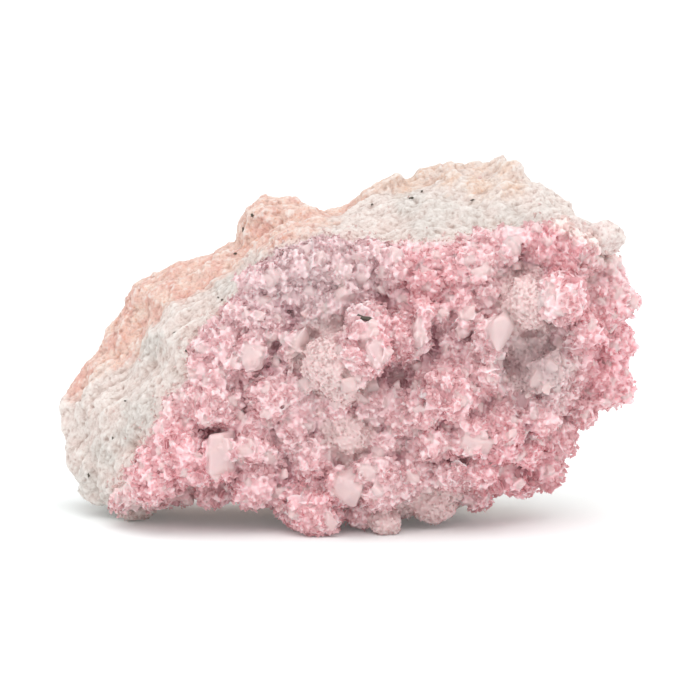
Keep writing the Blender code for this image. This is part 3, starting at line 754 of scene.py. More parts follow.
def crystal_shader(name, thin):
    """Rhodochrosite: a soft carbonate with a glassy to pearly lustre, which light enters a little.

    The deeper pink between the crystals is painted shade, and the near white on rims and raised tops
    is painted highlight. Thin flakes let light through to their other side instead."""
    material, tree, shader = new_material(name)
    growth = add_node(tree, "ShaderNodeAttribute", {"attribute_name": "growth"})
    parts = add_node(tree, "ShaderNodeSeparateColor", inputs={0: growth.outputs["Color"]})
    rise, broad, pink = parts.outputs[0], parts.outputs[1], parts.outputs[2]
    grey = growth.outputs["Alpha"]
    frost = add_node(tree, "ShaderNodeAttribute", {"attribute_name": "frost"}).outputs["Fac"]
    pale = add_node(tree, "ShaderNodeAttribute", {"attribute_name": "pale"}).outputs["Fac"]
    place = add_node(tree, "ShaderNodeTexCoord").outputs["Object"]
    cream = add_node(tree, "ShaderNodeAttribute", {"attribute_name": "cream"}).outputs["Fac"]
    cloud, fine = [add_node(tree, "ShaderNodeTexNoise", inputs={
        "Vector": place, "Scale": 1 / (size * MM), "Detail": 3.0, "Roughness": 0.5}).outputs[0]
        for size in (2.5, 0.35)]
    face = layered(tree, "petal_face", [
        (pink, (0.4, 1.0), (0.0, 1.0), "deep_pink"),
        (grey, (0.1, 0.9), (0.0, 1.0), "mauve_grey")])
    # The colour of painted shade deep between the plates, greyer where the crust is grey.
    root = layered(tree, "shade_between_plates", [(grey, (0.2, 0.9), (0.0, 0.7), "grey_shade_between_crystals")])
    frosted = layered(tree, "frost", [(grey, (0.35, 0.9), (0.0, 1.0), "grey_frost")])
    crystal = layered(tree, "pale_crystal", [(cloud, (0.3, 0.7), (0.0, 1.0), "frost")])
    # Painted shade in the root colour where broad or rise is low, painted highlight where rise is high.
    colour = layered(tree, root, [
        (broad, (0.0, 0.4), (0.0, 1.0), face),
        (rise, (0.15, 0.5), (0.12, 0.0), root),
        (rise, (0.5, 0.95), (0.0, 0.33), "highlight_and_mottle"),
        (cloud, (0.4, 0.7), (0.0, 0.2), "highlight_and_mottle"),
        (frost, (0.0, 1.0), (0.0, 0.7), frosted),
        (pale, (0.2, 1.0), (0.0, 0.75), crystal),
        (cream, (0.0, 1.0), (0.0, 0.9), "cream")])
    tree.links.new(colour, shader.inputs["Base Color"])
    bump = add_node(tree, "ShaderNodeBump", inputs={"Strength": 0.3, "Distance": 0.05 * MM, "Height": fine})
    tree.links.new(bump.outputs[0], shader.inputs["Normal"])
    shader.inputs["Roughness"].default_value = 0.5
    shader.inputs["IOR"].default_value = 1.6
    if thin:
        through = add_node(tree, "ShaderNodeBsdfTranslucent", inputs={"Color": colour})
        both = add_node(tree, "ShaderNodeMixShader", inputs={
            0: 0.5, 1: shader.outputs[0], 2: through.outputs[0]})
        tree.links.new(both.outputs[0], tree.nodes["Material Output"].inputs["Surface"])
    else:
        shader.inputs["Subsurface Weight"].default_value = 0.9
        shader.inputs["Subsurface Radius"].default_value = (1.0, 0.7, 0.75)
        shader.inputs["Subsurface Scale"].default_value = 0.9 * MM
    return material


def rock_shader():
    """Banded vein rock: fine-grained quartz and carbonate, broken by hand: it is matt, grainy and streaked.

    It is cream and sugary with grey patches, and its back is salmon."""
    material, tree, shader = new_material("broken vein quartz")
    growth = add_node(tree, "ShaderNodeAttribute", {"attribute_name": "growth"})
    parts = add_node(tree, "ShaderNodeSeparateColor", inputs={0: growth.outputs["Color"]})
    patch, warm, fine = parts.outputs[0], parts.outputs[1], parts.outputs[2]
    border = growth.outputs["Alpha"]
    place = add_node(tree, "ShaderNodeTexCoord").outputs["Object"]
    in_bands = add_node(tree, "ShaderNodeMapping", {"vector_type": "TEXTURE"}, {
        "Vector": place, "Rotation": (0.0, -BAND_SLOPE, 0.0), "Scale": (BAND_STRETCH, 1.0, 1.0)}).outputs[0]
    # where each noise is read, the size of its lumps in millimetres, its detail and its roughness
    streaks, lumps, grain, specks = [add_node(tree, "ShaderNodeTexNoise", inputs={
        "Vector": where, "Scale": 1 / (size * MM), "Detail": detail, "Roughness": roughness}).outputs[0]
        for where, size, detail, roughness in (
            (in_bands, 1.6, 5.0, 0.65), (place, 4.0, 4.0, 0.6),
            (place, 0.55, 4.0, 0.7), (place, 0.9, 5.0, 0.75))]
    greyed = add_node(tree, "ShaderNodeMath", {"operation": "MULTIPLY_ADD"}, {0: streaks, 1: 1.2, 2: patch})
    along = add_node(tree, "ShaderNodeSeparateXYZ", inputs={0: place}).outputs[0]
    base = layered(tree, "rock_white", [
        (lumps, (0.35, 0.65), (0.0, 1.0), "rock_beige"),
        (streaks, (0.52, 0.62), (0.0, 0.7), "rock_sugar"),
        (streaks, (0.46, 0.36), (0.0, 0.7), "rock_shade"),
        (greyed.outputs[0], (0.8, 1.35), (0.0, 0.75), "rock_streak"),
        (along, (0.0, 20 * MM), (0.0, 0.3), "rock_cream")])
    peach = layered(tree, "peach", [(grain, (0.52, 0.66), (0.0, 1.0), "peach_grain")])
    rose = layered(tree, "salmon_pale", [
        (lumps, (0.38, 0.62), (0.0, 1.0), "salmon_rose"),
        (specks, (0.5, 0.7), (0.0, 0.7), "salmon_sugar"),
        (streaks, (0.52, 0.7), (0.0, 0.5), "rock_salmon"),
        (grain, (0.53, 0.66), (0.0, 0.75), "salmon_grain"),
        (along, (-2 * MM, 9 * MM), (0.0, 0.8), peach)])
    # the streaks run a little into the salmon, and it into them
    ragged = add_node(tree, "ShaderNodeMapRange", {"clamp": True}, {
        "Value": streaks, "From Min": 0.3, "From Max": 0.7, "To Min": -0.25, "To Max": 0.25})
    warmed = add_node(tree, "ShaderNodeMath", {"operation": "ADD"}, {0: ragged.outputs[0], 1: warm})
    colour = layered(tree, base, [
        (warmed.outputs[0], (0.3, 0.7), (0.0, 1.0), rose),
        (border, (0.1, 1.0), (0.0, 0.8), "border"),
        # painted shade in the low pits of the grain bump
        (grain, (0.5, 0.36), (0.0, 0.4), "pit_shade", "MULTIPLY"),
        # painted shade low between the granules, and painted highlight on their tops
        (fine, (0.45, 0.05), (0.0, 0.6), "granule_shade", "MULTIPLY"),
        (fine, (0.55, 0.9), (0.0, 0.6), "granule_highlight")])
    tree.links.new(colour, shader.inputs["Base Color"])
    rough = add_node(tree, "ShaderNodeMath", {"operation": "MULTIPLY_ADD"}, {0: streaks, 1: 0.6, 2: grain})
    bump = add_node(tree, "ShaderNodeBump", inputs={
        "Strength": 1.0, "Distance": 0.38 * MM, "Height": rough.outputs[0]})
    tree.links.new(bump.outputs[0], shader.inputs["Normal"])
    shader.inputs["Roughness"].default_value = 0.8
    shader.inputs["IOR"].default_value = 1.54
    return material


def floor_shader():
    """Matt white paper: it only takes the shadow."""
    material, _, shader = new_material("matt white paper")
    shader.inputs["Base Color"].default_value = linear("#F9FDFD")
    shader.inputs["Roughness"].default_value = 1.0
    shader.inputs["Specular IOR Level"].default_value = 0.0
    shader.inputs["Emission Color"].default_value = (1, 1, 1, 1)
    shader.inputs["Emission Strength"].default_value = 0.05
    return material


class MakeRock(bpy.types.Operator):
    """The vein rock's broken surface, in place of its solid"""

    bl_idname = "specimen.make_rock"
    bl_label = "Vein rock"

    def execute(self, context):
        sizes = context.scene.specimen_sizes
        mesh = fine_skin(ROCK, sizes.rock_grain / MM)
        points, normals, edges = arrays_of(mesh)
        to_crust = distances(points, crust_tree(), 12.0)
        bare = np.clip(to_crust / 1.5 - 0.2, 0, 1)
        layer = turned_to_bands(points) * (1 / BAND_STRETCH, 1.0, 1.0)
        creases = np.abs(noise_at(layer, 1.9, 4.0))
        height = 0.42 * noise_at(points, 3.0, 1.0) + 0.28 * noise_at(points, 1.4, 2.0)
        height += 0.55 * (creases - 0.25) + 0.28 * np.abs(noise_at(points, 0.8, 3.0))
        height += 0.15 * noise_at(points, 0.55, 18.0)
        pits = noise_at(points, 1.3, 5.0)
        height -= 1.6 * np.clip(pits - 0.36, 0, 0.4)
        moved = points + normals * (height * bare - 0.12 - 0.13 * bare)[:, None]
        mesh.vertices.foreach_set("co", moved.astype(np.float32).ravel())
        mesh = reshaped(mesh, "DECIMATE", {
            "ratio": sizes.rock_share, "use_collapse_triangulate": True, "free": to_crust < 0.3})
        points, normals, edges = arrays_of(mesh)
        mesh.vertices.foreach_set("co", (inside_box(points) * MM).astype(np.float32).ravel())

        places = seen_place(points)
        grey = np.zeros(len(points))
        for across, up, radius in GREY_PATCHES:
            grey = np.maximum(grey, np.exp(-(((places - (across, up)) / radius) ** 2).sum(axis=1)))
        depth, tall = points[:, 1], points[:, 2]
        across = points[:, 0]
        salmon_from = np.interp(
            across, [-50, -36, -28, -20, -10, 0, 45], [12.5, 8.5, 5.0, 6.0, 6.0, 11.0, 10.0])
        warm = np.clip((depth - salmon_from) / 5 + 0.5, 0, 1)
        warm = warm * np.interp(across, [-5, 15, 30], [1, 0.6, 0.45])
        warm *= np.clip((tall - np.interp(points[:, 0], [-45, -30], [16, 0])) / 5, 0, 1)
        knob = np.linalg.norm((points - (-11.5, 7.0, 51.5)) / (8.0, 12.0, 5.0), axis=1)
        warm = np.maximum(warm, np.clip(1.6 - knob, 0, 1))
        for across, up, radius in PEACH_PATCHES:
            warm = np.maximum(warm, 0.65 * np.exp(-(((places - (across, up)) / radius) ** 2).sum(axis=1)))
        # How far each point stands out, for painted highlight on the granules and painted shade between them.
        fine = ((points - evened(points, edges, 3)) * normals).sum(axis=1) / 0.12
        to_crust = distances(points, crust_tree(), 12.0)
        border = np.exp(-(to_crust / np.interp(points[:, 0], (LEDGE_FROM - 6, LEDGE_FROM), (2.6, 6.0))) ** 2)
        paint(mesh, np.column_stack((np.clip(grey, 0, 1), warm, np.clip(0.5 + 0.35 * fine, 0, 1), border)))
        mesh.polygons.foreach_set("use_smooth", np.ones(len(mesh.polygons), bool))
        mesh.update()
        mesh.name = "rock_surface"
        piece = bpy.data.objects.new("rock_surface", mesh)
        context.scene.collection.objects.link(piece)
        finish_piece(piece, rock_shader(), "vein_rock", ROCK)
        return {"FINISHED"}


# The four faces of a flake, whose corners are its root, one side, its tip and the other side.
FLAKE = np.array(((0, 1, 2), (0, 3, 1), (0, 2, 3), (1, 3, 2)))


def flakes(roots, ways, sides, half, narrow, fold):
    """Corners of thin folded flakes, as (flake, corner, xyz)."""
    other = np.cross(ways, sides)
    half = half[:, None]
    middle = roots + half * (ways + fold[:, None] * other)
    spread = half * narrow[:, None] * sides
    return np.stack((roots, middle + spread, roots + 2 * half * ways, middle - spread), axis=1)


def grown_flakes(points, outs, half, tilt, loose, size, rng):
    """Flakes that lean over the surface, side by side with their neighbours over that size in millimetres."""
    count = len(points)
    ways, sides = leaning(points, outs, size, loose, tilt, rng)
    sides = sides * rng.choice((-1, 1), (count, 1))
    roots = points - outs * (0.3 * half)[:, None]
    return flakes(roots, ways, sides, half, rng.uniform(0.7, 1.1, count), rng.uniform(0.15, 0.4, count))


def leaning(points, outs, size, loose, tilt, rng):
    """Ways up and sides of things that lean as their neighbours do, over that size in millimetres."""
    count = len(points)
    flow = np.column_stack([noise_at(points, size, seed) for seed in (41.0, 42.0, 43.0)])
    flow += loose * rng.normal(0, 0.35, (count, 3))
    sides = normalised(flow - (flow * outs).sum(axis=1)[:, None] * outs)
    lean = tilt + rng.normal(0, 0.28, count)
    ways = np.cos(lean)[:, None] * outs + np.sin(lean)[:, None] * np.cross(outs, sides)
    return ways, sides


def triangles(faces):
    """Quads cut into triangles."""
    return np.concatenate((faces[:, [0, 1, 2]], faces[:, [0, 2, 3]]))


def bare_mesh(name, points, faces):
    """A mesh from arrays, in the unit of its points."""
    mesh = bpy.data.meshes.new(name)
    count, corners = faces.shape
    mesh.vertices.add(len(points))
    mesh.vertices.foreach_set("co", points.astype(np.float32).ravel())
    mesh.loops.add(count * corners)
    mesh.loops.foreach_set("vertex_index", faces.astype(np.int32).ravel())
    mesh.polygons.add(count)
    mesh.polygons.foreach_set("loop_start", np.arange(0, count * corners, corners, dtype=np.int32))
    mesh.update(calc_edges=True)
    return mesh


def reshaped(mesh, kind, settings):
    """The mesh as one modifier leaves it. The one given is removed."""
    made = bpy.data.objects.new(mesh.name, mesh)
    bpy.context.scene.collection.objects.link(made)
    if kind == "DECIMATE":
        group = made.vertex_groups.new(name="free")
        free = settings.pop("free")
        group.add(np.flatnonzero(free).tolist(), 1.0, "REPLACE")
        group.add(np.flatnonzero(~free).tolist(), 0.5, "REPLACE")
        settings["vertex_group"] = "free"
        settings["vertex_group_factor"] = 0.02
    modifier = made.modifiers.new("shape", kind)
    for key, value in settings.items():
        setattr(modifier, key, value)
    graph = bpy.context.evaluated_depsgraph_get()
    result = bpy.data.meshes.new_from_object(made.evaluated_get(graph))
    bpy.data.objects.remove(made)
    bpy.data.meshes.remove(mesh)
    return result


def faces_of(mesh, corners):
    """The faces of a mesh whose faces all have the same number of corners."""
    faces = np.empty(len(mesh.loops), np.int32)
    mesh.loops.foreach_get("vertex_index", faces)
    return faces.reshape(-1, corners)


def crevices(points):
    """How near each point is to the seam between two rosettes, from 0 to 1."""
    centres = rosette_centres()
    bent = points + 1.1 * np.column_stack([noise_at(points, 3.2, seed) for seed in (14.0, 15.0, 16.0)])
    far = np.linalg.norm(bent[:, None] - centres[None, :, :3], axis=2) / centres[:, 3]
    far.sort(axis=1)
    gap = far[:, 1] - far[:, 0]
    broken = np.clip(0.55 + 1.3 * noise_at(points, 5.0, 17.0), 0, 1)
    return np.exp(-(gap / 0.15) ** 2) * broken


def sunk(points, normals):
    """How far each point sinks at the hollows, along the line of sight, as (vector, depth)."""
    places = seen_place(points)
    depth = np.zeros(len(points))
    for across, up, radius, own in HOLLOWS:
        near = np.exp(-(((places - (across, up)) / radius) ** 2).sum(axis=1))
        depth = np.maximum(depth, own * near)
    facing = np.clip(-(normals * np.array(SIGHT)).sum(axis=1) * 2, 0, 1)
    depth *= facing
    return depth[:, None] * np.array(SIGHT), depth


def blunt_crystal(rng):
    """A rhomb one unit across that grew unevenly: its corners are cut off, and every edge is worn round."""
    model = bmesh.new()
    bmesh.ops.create_cube(model, size=1)
    for _ in range(rng.integers(7, 13)):
        way = Vector(rng.choice((-1, 1), 3) * rng.uniform(0.25, 1, 3)).normalized()
        bmesh.ops.bisect_plane(
            model, geom=[*model.verts, *model.edges, *model.faces], plane_co=way * rng.uniform(0.38, 0.54),
            plane_no=way, clear_outer=True)
    corners = [vertex.co * 1 for vertex in model.verts]
    model.clear()
    for corner in corners:
        model.verts.new(corner)
    bmesh.ops.remove_doubles(model, verts=model.verts, dist=0.03)
    bmesh.ops.convex_hull(model, input=model.verts)
    bmesh.ops.delete(model, geom=[vertex for vertex in model.verts if not vertex.link_faces], context="VERTS")
    bmesh.ops.dissolve_limit(model, angle_limit=math.radians(10), verts=model.verts, edges=model.edges)
    bmesh.ops.bevel(model, geom=model.edges[:], offset=0.1, segments=2, profile=0.5, affect="EDGES")
    bmesh.ops.triangulate(model, faces=model.faces)
    points = np.array([vertex.co for vertex in model.verts])
    faces = np.array([[vertex.index for vertex in face.verts] for face in model.faces])
    model.free()
    return points, faces


def pale_crystals():
    """The larger, paler crystals as one set of closed solids: points in millimetres, and triangles."""
    rng = np.random.default_rng(23)
    shear = np.array(((1, 0.22, 0.1), (0, 1, 0.12), (0, 0, 1)))
    all_points, all_faces, start = [], [], 0
    for number, (point, outward, width, height, lean) in enumerate(crystal_places()):
        depth = 0.5 * (width + height) + (1.5 if number < len(CRYSTALS) else 0.5)
        points, faces = blunt_crystal(rng)
        turn = outward.to_track_quat("Z", "Y").to_matrix() @ Matrix.Rotation(math.radians(lean), 3, "Z")
        tip = rng.uniform(-0.35, 0.35, 2)
        turn @= Matrix.Rotation(tip[0], 3, "X") @ Matrix.Rotation(tip[1], 3, "Y")
        local = points @ shear.T * (width, height, depth)
        all_points.append(local @ np.array(turn).T + np.array(point - outward * (0.5 * depth - 0.15)))
        all_faces.append(faces + start)
        start += len(points)
    return np.concatenate(all_points), np.concatenate(all_faces)


@functools.cache
def crust_ground():
    """How far the crust's skin sinks in the crevices and hollows, as (vector, inset, depth, crevice)."""
    _, points, even, exposed, relief = crust_skin()
    drop, depth = sunk(points, even)
    crevice = crevices(points)
    drop -= even * (0.75 * crevice + 0.5 * np.clip(-relief, 0, 1))[:, None]
    inset = np.where(exposed, np.where(kind_at(points, "frost") > 0.5, 0.25, 0.08), 0.1)
    room = np.clip(distances(points, rock_tree(), 4.0) - 0.5, 0, 4)
    held = np.clip(room / (np.linalg.norm(drop, axis=1) + inset + 0.001), 0, 1)
    return drop * held[:, None], inset * held, depth * held, crevice * held


@functools.cache
def druse():
    """The crust's plates, rhombs, teeth and pale crystals grown together with their ground, in millimetres.

    It gives the points, the triangles, the values of growth with their painted highlight and shade, how
    frosted and how pale each point is, the way out of each point, and whether it is in the open."""
    sizes = bpy.context.scene.specimen_sizes
    rng = np.random.default_rng(21)
    skin, points, even, exposed, relief = crust_skin()
    drop, inset, depth, crevice = crust_ground()
    frost_of = kind_at(points, "frost")
    clear = clear_of_crystals(points)
    near_rock = np.clip(1.4 - distances(points, rock_tree(), 4.0) / 2.2, 0, 1)
    lumps = (0.3 * noise_at(points, 1.6, 6.0) + 0.15 * noise_at(points, 0.8, 7.0)) * (1 - 0.7 * frost_of)
    lumps = np.where(near_rock > 0.4, np.clip(lumps, 0, 1), lumps)
    ground = points + even * (lumps * exposed - inset)[:, None] + drop * exposed[:, None]
    solids = [(ground, triangles(faces_of(skin, 4)))]

    # plates
    usable = np.flatnonzero(exposed & clear & (frost_of < 0.5))
    usable = usable[thinned(points[usable], sizes.cluster_spacing / MM, rng.permutation(len(usable)))]
    places, ways, stands = points[usable] + drop[usable], even[usable], relief[usable]
    ways = normalised(away_from_rosettes(points[usable], ways) + rng.normal(0, 0.14, ways.shape))
    _, grey = tint_at(points[usable])
    fine = np.maximum(kind_at(points[usable], "block"), np.clip(1.6 * grey - 0.3, 0, 1))
    fine = np.maximum(fine, near_rock[usable])
    size = sizes.plate_edge / MM * (1 + 0.2 * stands - 0.35 * fine)
    size *= rng.uniform(0.8, 1.25, len(places)) * np.interp(places[:, 0], (43, 47), (1, 0.65))
    frilly = rng.random(len(places)) > 0.6 + 0.4 * fine
    for chosen, faces, curly in ((frilly, petal_faces(), True), (~frilly, plate_faces(), False)):
        own = np.flatnonzero(chosen)
        shape, _, _ = grow_clusters(places[own], ways[own], size[own], curly, rng)
        solids.append((shape.reshape(-1, 3), triangles(repeated(faces, len(shape), shape.shape[1]))))

    # small rhombs
    usable = np.flatnonzero(exposed & clear)
    _, grey = tint_at(points[usable])
    fine = kind_at(points[usable], "block")
    wanted = rng.random(len(usable)) < (0.12 + 0.7 * grey + 0.3 * fine) * (1 - frost_of[usable])
    usable = usable[wanted]
    usable = usable[thinned(points[usable], 0.95, rng.permutation(len(usable)))]
    ways = normalised(even[usable] + rng.normal(0, 0.45, (len(usable), 3)))
    places = points[usable] + drop[usable]
    count = len(places)
    width = rng.uniform(0.7, 1.3, count)
    box = np.column_stack((width, width * rng.uniform(0.7, 1.1, count), width * rng.uniform(1.2, 1.8, count)))
    shape = rhombs(places - ways * (0.35 * width)[:, None], ways, random_across(ways, rng), box,
                   rng.uniform(0.1, 0.4, count))
    solids.append((shape.reshape(-1, 3), repeated(worn_box()[1], count, shape.shape[1])))

    # teeth of the frosted lobes
    usable = np.flatnonzero(exposed & (frost_of > 0.5))
    usable = usable[thinned(points[usable], 0.6, rng.permutation(len(usable)))]
    ways = normalised(even[usable] + rng.normal(0, 0.3, (len(usable), 3)))
    count = len(usable)
    width = rng.uniform(0.4, 0.7, count)
    box = np.column_stack((width, width * rng.uniform(0.5, 1.0, count), width * 1.6))
    shape = rhombs(points[usable] + drop[usable] - ways * 0.45, ways, random_across(ways, rng), box,
                   rng.uniform(0.1, 0.4, count))
    solids.append((shape.reshape(-1, 3), repeated(worn_box()[1], count, shape.shape[1])))

    crystals = pale_crystals()
    solids.append(crystals)
    starts = np.cumsum([0] + [len(solid[0]) for solid in solids[:-1]])
    mesh = bare_mesh("druse", np.concatenate([solid[0] for solid in solids]),
                     np.concatenate([faces + start for (_, faces), start in zip(solids, starts)]))
    mesh = reshaped(mesh, "REMESH", {"mode": "VOXEL", "voxel_size": sizes.druse_grain / MM})
    found, normals, edges = arrays_of(mesh)
    tree = KDTree(len(points))
    for i, point in enumerate(points + drop * exposed[:, None]):
        tree.insert(point, i)
    tree.balance()
    near = np.array([tree.find(point)[1] for point in found])
    mesh.vertices.foreach_set("co", (0.6 * found + 0.4 * evened(found, edges, 1)).astype(np.float32).ravel())
    mesh = reshaped(mesh, "DECIMATE", {
        "ratio": sizes.druse_share, "use_collapse_triangulate": True, "free": ~exposed[near]})
    found, normals, edges = arrays_of(mesh)
    near = np.array([tree.find(point)[1] for point in found])
    faces = faces_of(mesh, 3)
    bpy.data.meshes.remove(mesh)

    smooth_normals = normalised(evened(normals, edges, 2))
    # rise: painted highlight on convex ridges and raised tops, and painted shade in concave dips.
    curve = ((found - evened(found, edges, 2)) * smooth_normals).sum(axis=1) / 0.1
    height = ((found - points[near] - drop[near]) * even[near]).sum(axis=1)
    wide = ((found - evened(found, edges, 14)) * even[near]).sum(axis=1) / 0.45
    rise = np.clip(0.5 + 0.4 * curve + 0.55 * wide, 0, 1)
    # broad: painted shade in crevices, hollows and low relief, and painted light where the crust stands out.
    broad = 0.62 + 0.3 * relief[near] + 0.25 * height - 0.55 * depth[near] - 0.6 * crevice[near]
    broad = np.clip(evened(broad[:, None], edges, 2)[:, 0], 0, 1)
    pink, grey = tint_at(found)
    values = np.column_stack((rise, broad, 0.5 + 0.5 * pink, np.clip(grey, 0, 1)))
    frost = evened(frost_of[near][:, None], edges, 3)[:, 0]
    to_rock = distances(found, rock_tree(), 4.0)
    frost = np.maximum(frost, np.clip(1.4 - to_rock / 2.2, 0, 1))
    of_crystals = BVHTree.FromPolygons([Vector(point) for point in crystals[0]], crystals[1].tolist())
    pale = np.array([of_crystals.find_nearest(Vector(point), 0.3)[0] is not None for point in found], float)
    pale = evened(pale[:, None], edges, 1)[:, 0]
    outs = normalised(normals + even[near])
    return found, faces, values, frost, pale, outs, exposed[near]


def paint_share(mesh, name, share):
    """Give each vertex one value that a material reads by that name."""
    layer = mesh.attributes.new(name, "FLOAT", "POINT")
    layer.data.foreach_set("value", np.broadcast_to(share, len(mesh.vertices)).astype(np.float32))


class MakeDruse(bpy.types.Operator):
    """The crust: curved plates, small rhombs, frosted lobes and pale crystals, grown together"""

    bl_idname = "specimen.make_druse"
    bl_label = "Druse"

    def execute(self, context):
        found, faces, values, frost, pale, _, _ = druse()
        centres = rosette_centres()
        middle = found[faces].mean(axis=1)
        nearest = np.array([
            (np.linalg.norm(centres[:, :3] - place, axis=1) / centres[:, 3]).argmin() for place in middle])
        amount = np.bincount(nearest, minlength=len(centres))
        order = np.argsort(centres[:, 0])
        parts = math.ceil(len(faces) / PIECE_FACES)
        part_of_rosette = np.empty(len(centres), int)
        part_of_rosette[order] = np.minimum(
            (np.cumsum(amount[order]) - 1) * parts // len(faces), parts - 1)
        part_of = part_of_rosette[nearest]
        material = crystal_shader("rhodochrosite druse", False)
        for number in range(parts):
            own = faces[part_of == number]
            used, index = np.unique(own, return_inverse=True)
            piece = mesh_object(f"druse_{number + 1}", found[used], index.reshape(-1, 3), True, values[used])
            paint_share(piece.data, "frost", frost[used])
            paint_share(piece.data, "pale", pale[used])
            paint_share(piece.data, "cream", cream_at(found[used]))
            finish_piece(piece, material, "rhodochrosite", CRUST)
        return {"FINISHED"}


class MakePlates(bpy.types.Operator):
    """Books of larger, crisp plates on the rosettes"""

    bl_idname = "specimen.make_plates"
    bl_label = "Plates"

    def execute(self, context):
        sizes = context.scene.specimen_sizes
        rng = np.random.default_rng(27)
        _, points, even, exposed, relief = crust_skin()
        drop, _, _, _ = crust_ground()
        usable = np.flatnonzero(
            exposed & clear_of_crystals(points) & (kind_at(points, "petal") > 0.5) & (relief > -0.3))
        usable = usable[thinned(points[usable], sizes.plate_spacing / MM, rng.permutation(len(usable)))]
        places = points[usable] + drop[usable]
        ways = normalised(away_from_rosettes(points[usable], even[usable]) + rng.normal(0, 0.1, places.shape))
        size = 0.9 * sizes.plate_edge / MM * rng.uniform(0.75, 1.25, len(places))
        size *= np.interp(places[:, 0], (43, 47), (1, 0.6))
        material = crystal_shader("rhodochrosite plates", True)
        frilly = rng.random(len(places)) < 0.4
        for chosen, faces, curly, name in (
            (~frilly, plate_faces(), False, "straight_plates"),
            (frilly, petal_faces(), True, "curly_plates"),
        ):
            own = np.flatnonzero(chosen)
            shape, seed, tip = grow_clusters(places[own] + 0.15 * ways[own], ways[own], size[own], curly, rng)
            # Painted highlight toward each plate's tip; broad paints light on raised relief and shade on low.
            rise = np.clip(0.5 + 0.3 * tip + rng.normal(0, 0.08, (len(shape), 1)), 0, 1)
            pink, grey = tint_at(places[own][seed])
            broad = np.clip(0.7 + 0.3 * relief[usable][own][seed], 0, 1)
            value = np.stack((rise, broad[:, None] + 0 * rise, (0.5 + 0.5 * pink)[:, None] + 0 * rise,
                              grey[:, None] + 0 * rise), axis=-1)
            piece = mesh_object(name, shape.reshape(-1, 3), repeated(faces, len(shape), shape.shape[1]),
                                False, value.reshape(-1, 4))
            finish_piece(piece, material, "rhodochrosite")
        return {"FINISHED"}


class MakeFlakes(bpy.types.Operator):
    """The thin flakes that cover the druse, side by side like scales"""

    bl_idname = "specimen.make_flakes"
    bl_label = "Flakes"

    def execute(self, context):
        rng = np.random.default_rng(22)
        found, _, values, frost, pale, outs, exposed = druse()
        of_lobes = kind_at(found, "frost") > 0.5
        patchy = noise_at(found, 2.4, 44.0) > -0.16
        slit = np.linalg.norm(seen_place(found) - np.array(SPECKS[-1][:2]), axis=1)
        usable = np.flatnonzero(exposed & (pale < 0.1) & ((frost < 0.5) | of_lobes) & patchy & (slit > 1.2))
        spacing = context.scene.specimen_sizes.flake_spacing / MM
        usable = usable[thinned(found[usable], spacing, rng.permutation(len(usable)))]
        own = values[usable]
        count = len(usable)
        half = rng.uniform(0.28, 0.66, count) * (1 - 0.25 * own[:, 3]) * np.where(of_lobes[usable], 0.55, 1)
        half *= np.interp(found[usable][:, 0], (43, 47), (1, 0.6))
        shape = grown_flakes(found[usable], outs[usable], half, 1.0, 0.6, 2.0, rng)
        # Painted highlight toward each flake's tip, dimmed as painted shade where broad is low.
        corner_rise = np.array((0.45, 0.72, 1.0, 0.72))
        rise = corner_rise * (0.6 + 0.4 * own[:, 1:2]) + rng.normal(0, 0.1, (count, 1))
        value = np.stack([np.clip(rise, 0, 1)] + [own[:, i:i + 1] + 0 * rise for i in (1, 2, 3)], axis=-1)
        part_of = np.searchsorted(np.quantile(found[usable][:, 0], (0.5,)), found[usable][:, 0])
        for number in (0, 1):
            some = np.flatnonzero(part_of == number)
            piece = mesh_object(f"flakes_{number + 1}", shape[some].reshape(-1, 3),
                                repeated(FLAKE, len(some), 4), False, value[some].reshape(-1, 4))
            paint_share(piece.data, "frost", np.repeat(frost[usable][some], 4))
            paint_share(piece.data, "cream", np.repeat(cream_at(found[usable][some]), 4))
            finish_piece(piece, bpy.data.materials["rhodochrosite plates"], "rhodochrosite")
        return {"FINISHED"}


class MakeBorder(bpy.types.Operator):
    """Pale flakes on the rock, thick where the crust begins and thinning away from it"""

    bl_idname = "specimen.make_border"
    bl_label = "Border"

    def execute(self, context):
        rng = np.random.default_rng(24)
        points, normals, _ = arrays_of(context.scene.objects["rock_surface"].data)
        points = points / MM
        tree = crust_tree()
        to_crust = distances(points, tree, 9.0)
        reach = np.interp(points[:, 0], (LEDGE_FROM - 4, LEDGE_FROM), (1.3, 0.6))
        chance = 1.3 * np.exp(-to_crust / reach)
        usable = np.flatnonzero((to_crust > 0.2) & (rng.random(len(points)) < chance))
        open_air = [tree.ray_cast(Vector(points[i]), Vector(normals[i]), 3.0)[0] is None for i in usable]
        usable = usable[np.array(open_air)]
        usable = usable[thinned(points[usable], 0.3, rng.permutation(len(usable)))]
        count = len(usable)
        half = rng.uniform(0.15, 0.4, count)
        shape = grown_flakes(points[usable], normals[usable], half, 0.5, 1.5, 1.6, rng)
        pink, grey = tint_at(points[usable])
        # Painted highlight: the flakes are near white, palest at their tips.
        rise = np.clip(np.array((0.75, 0.9, 1.0, 0.9)) + rng.normal(0, 0.1, (count, 1)), 0, 1)
        pink = 0.5 + 0.5 * pink[:, None] - 0.2
        value = np.stack((rise, 0 * rise + 0.8, pink + 0 * rise, grey[:, None] + 0 * rise), axis=-1)
        piece = mesh_object("border_flakes", shape.reshape(-1, 3), repeated(FLAKE, count, 4), False,
                            value.reshape(-1, 4))
        paint_share(piece.data, "cream", 0.7)
        finish_piece(piece, bpy.data.materials["rhodochrosite plates"], "rhodochrosite")
        return {"FINISHED"}


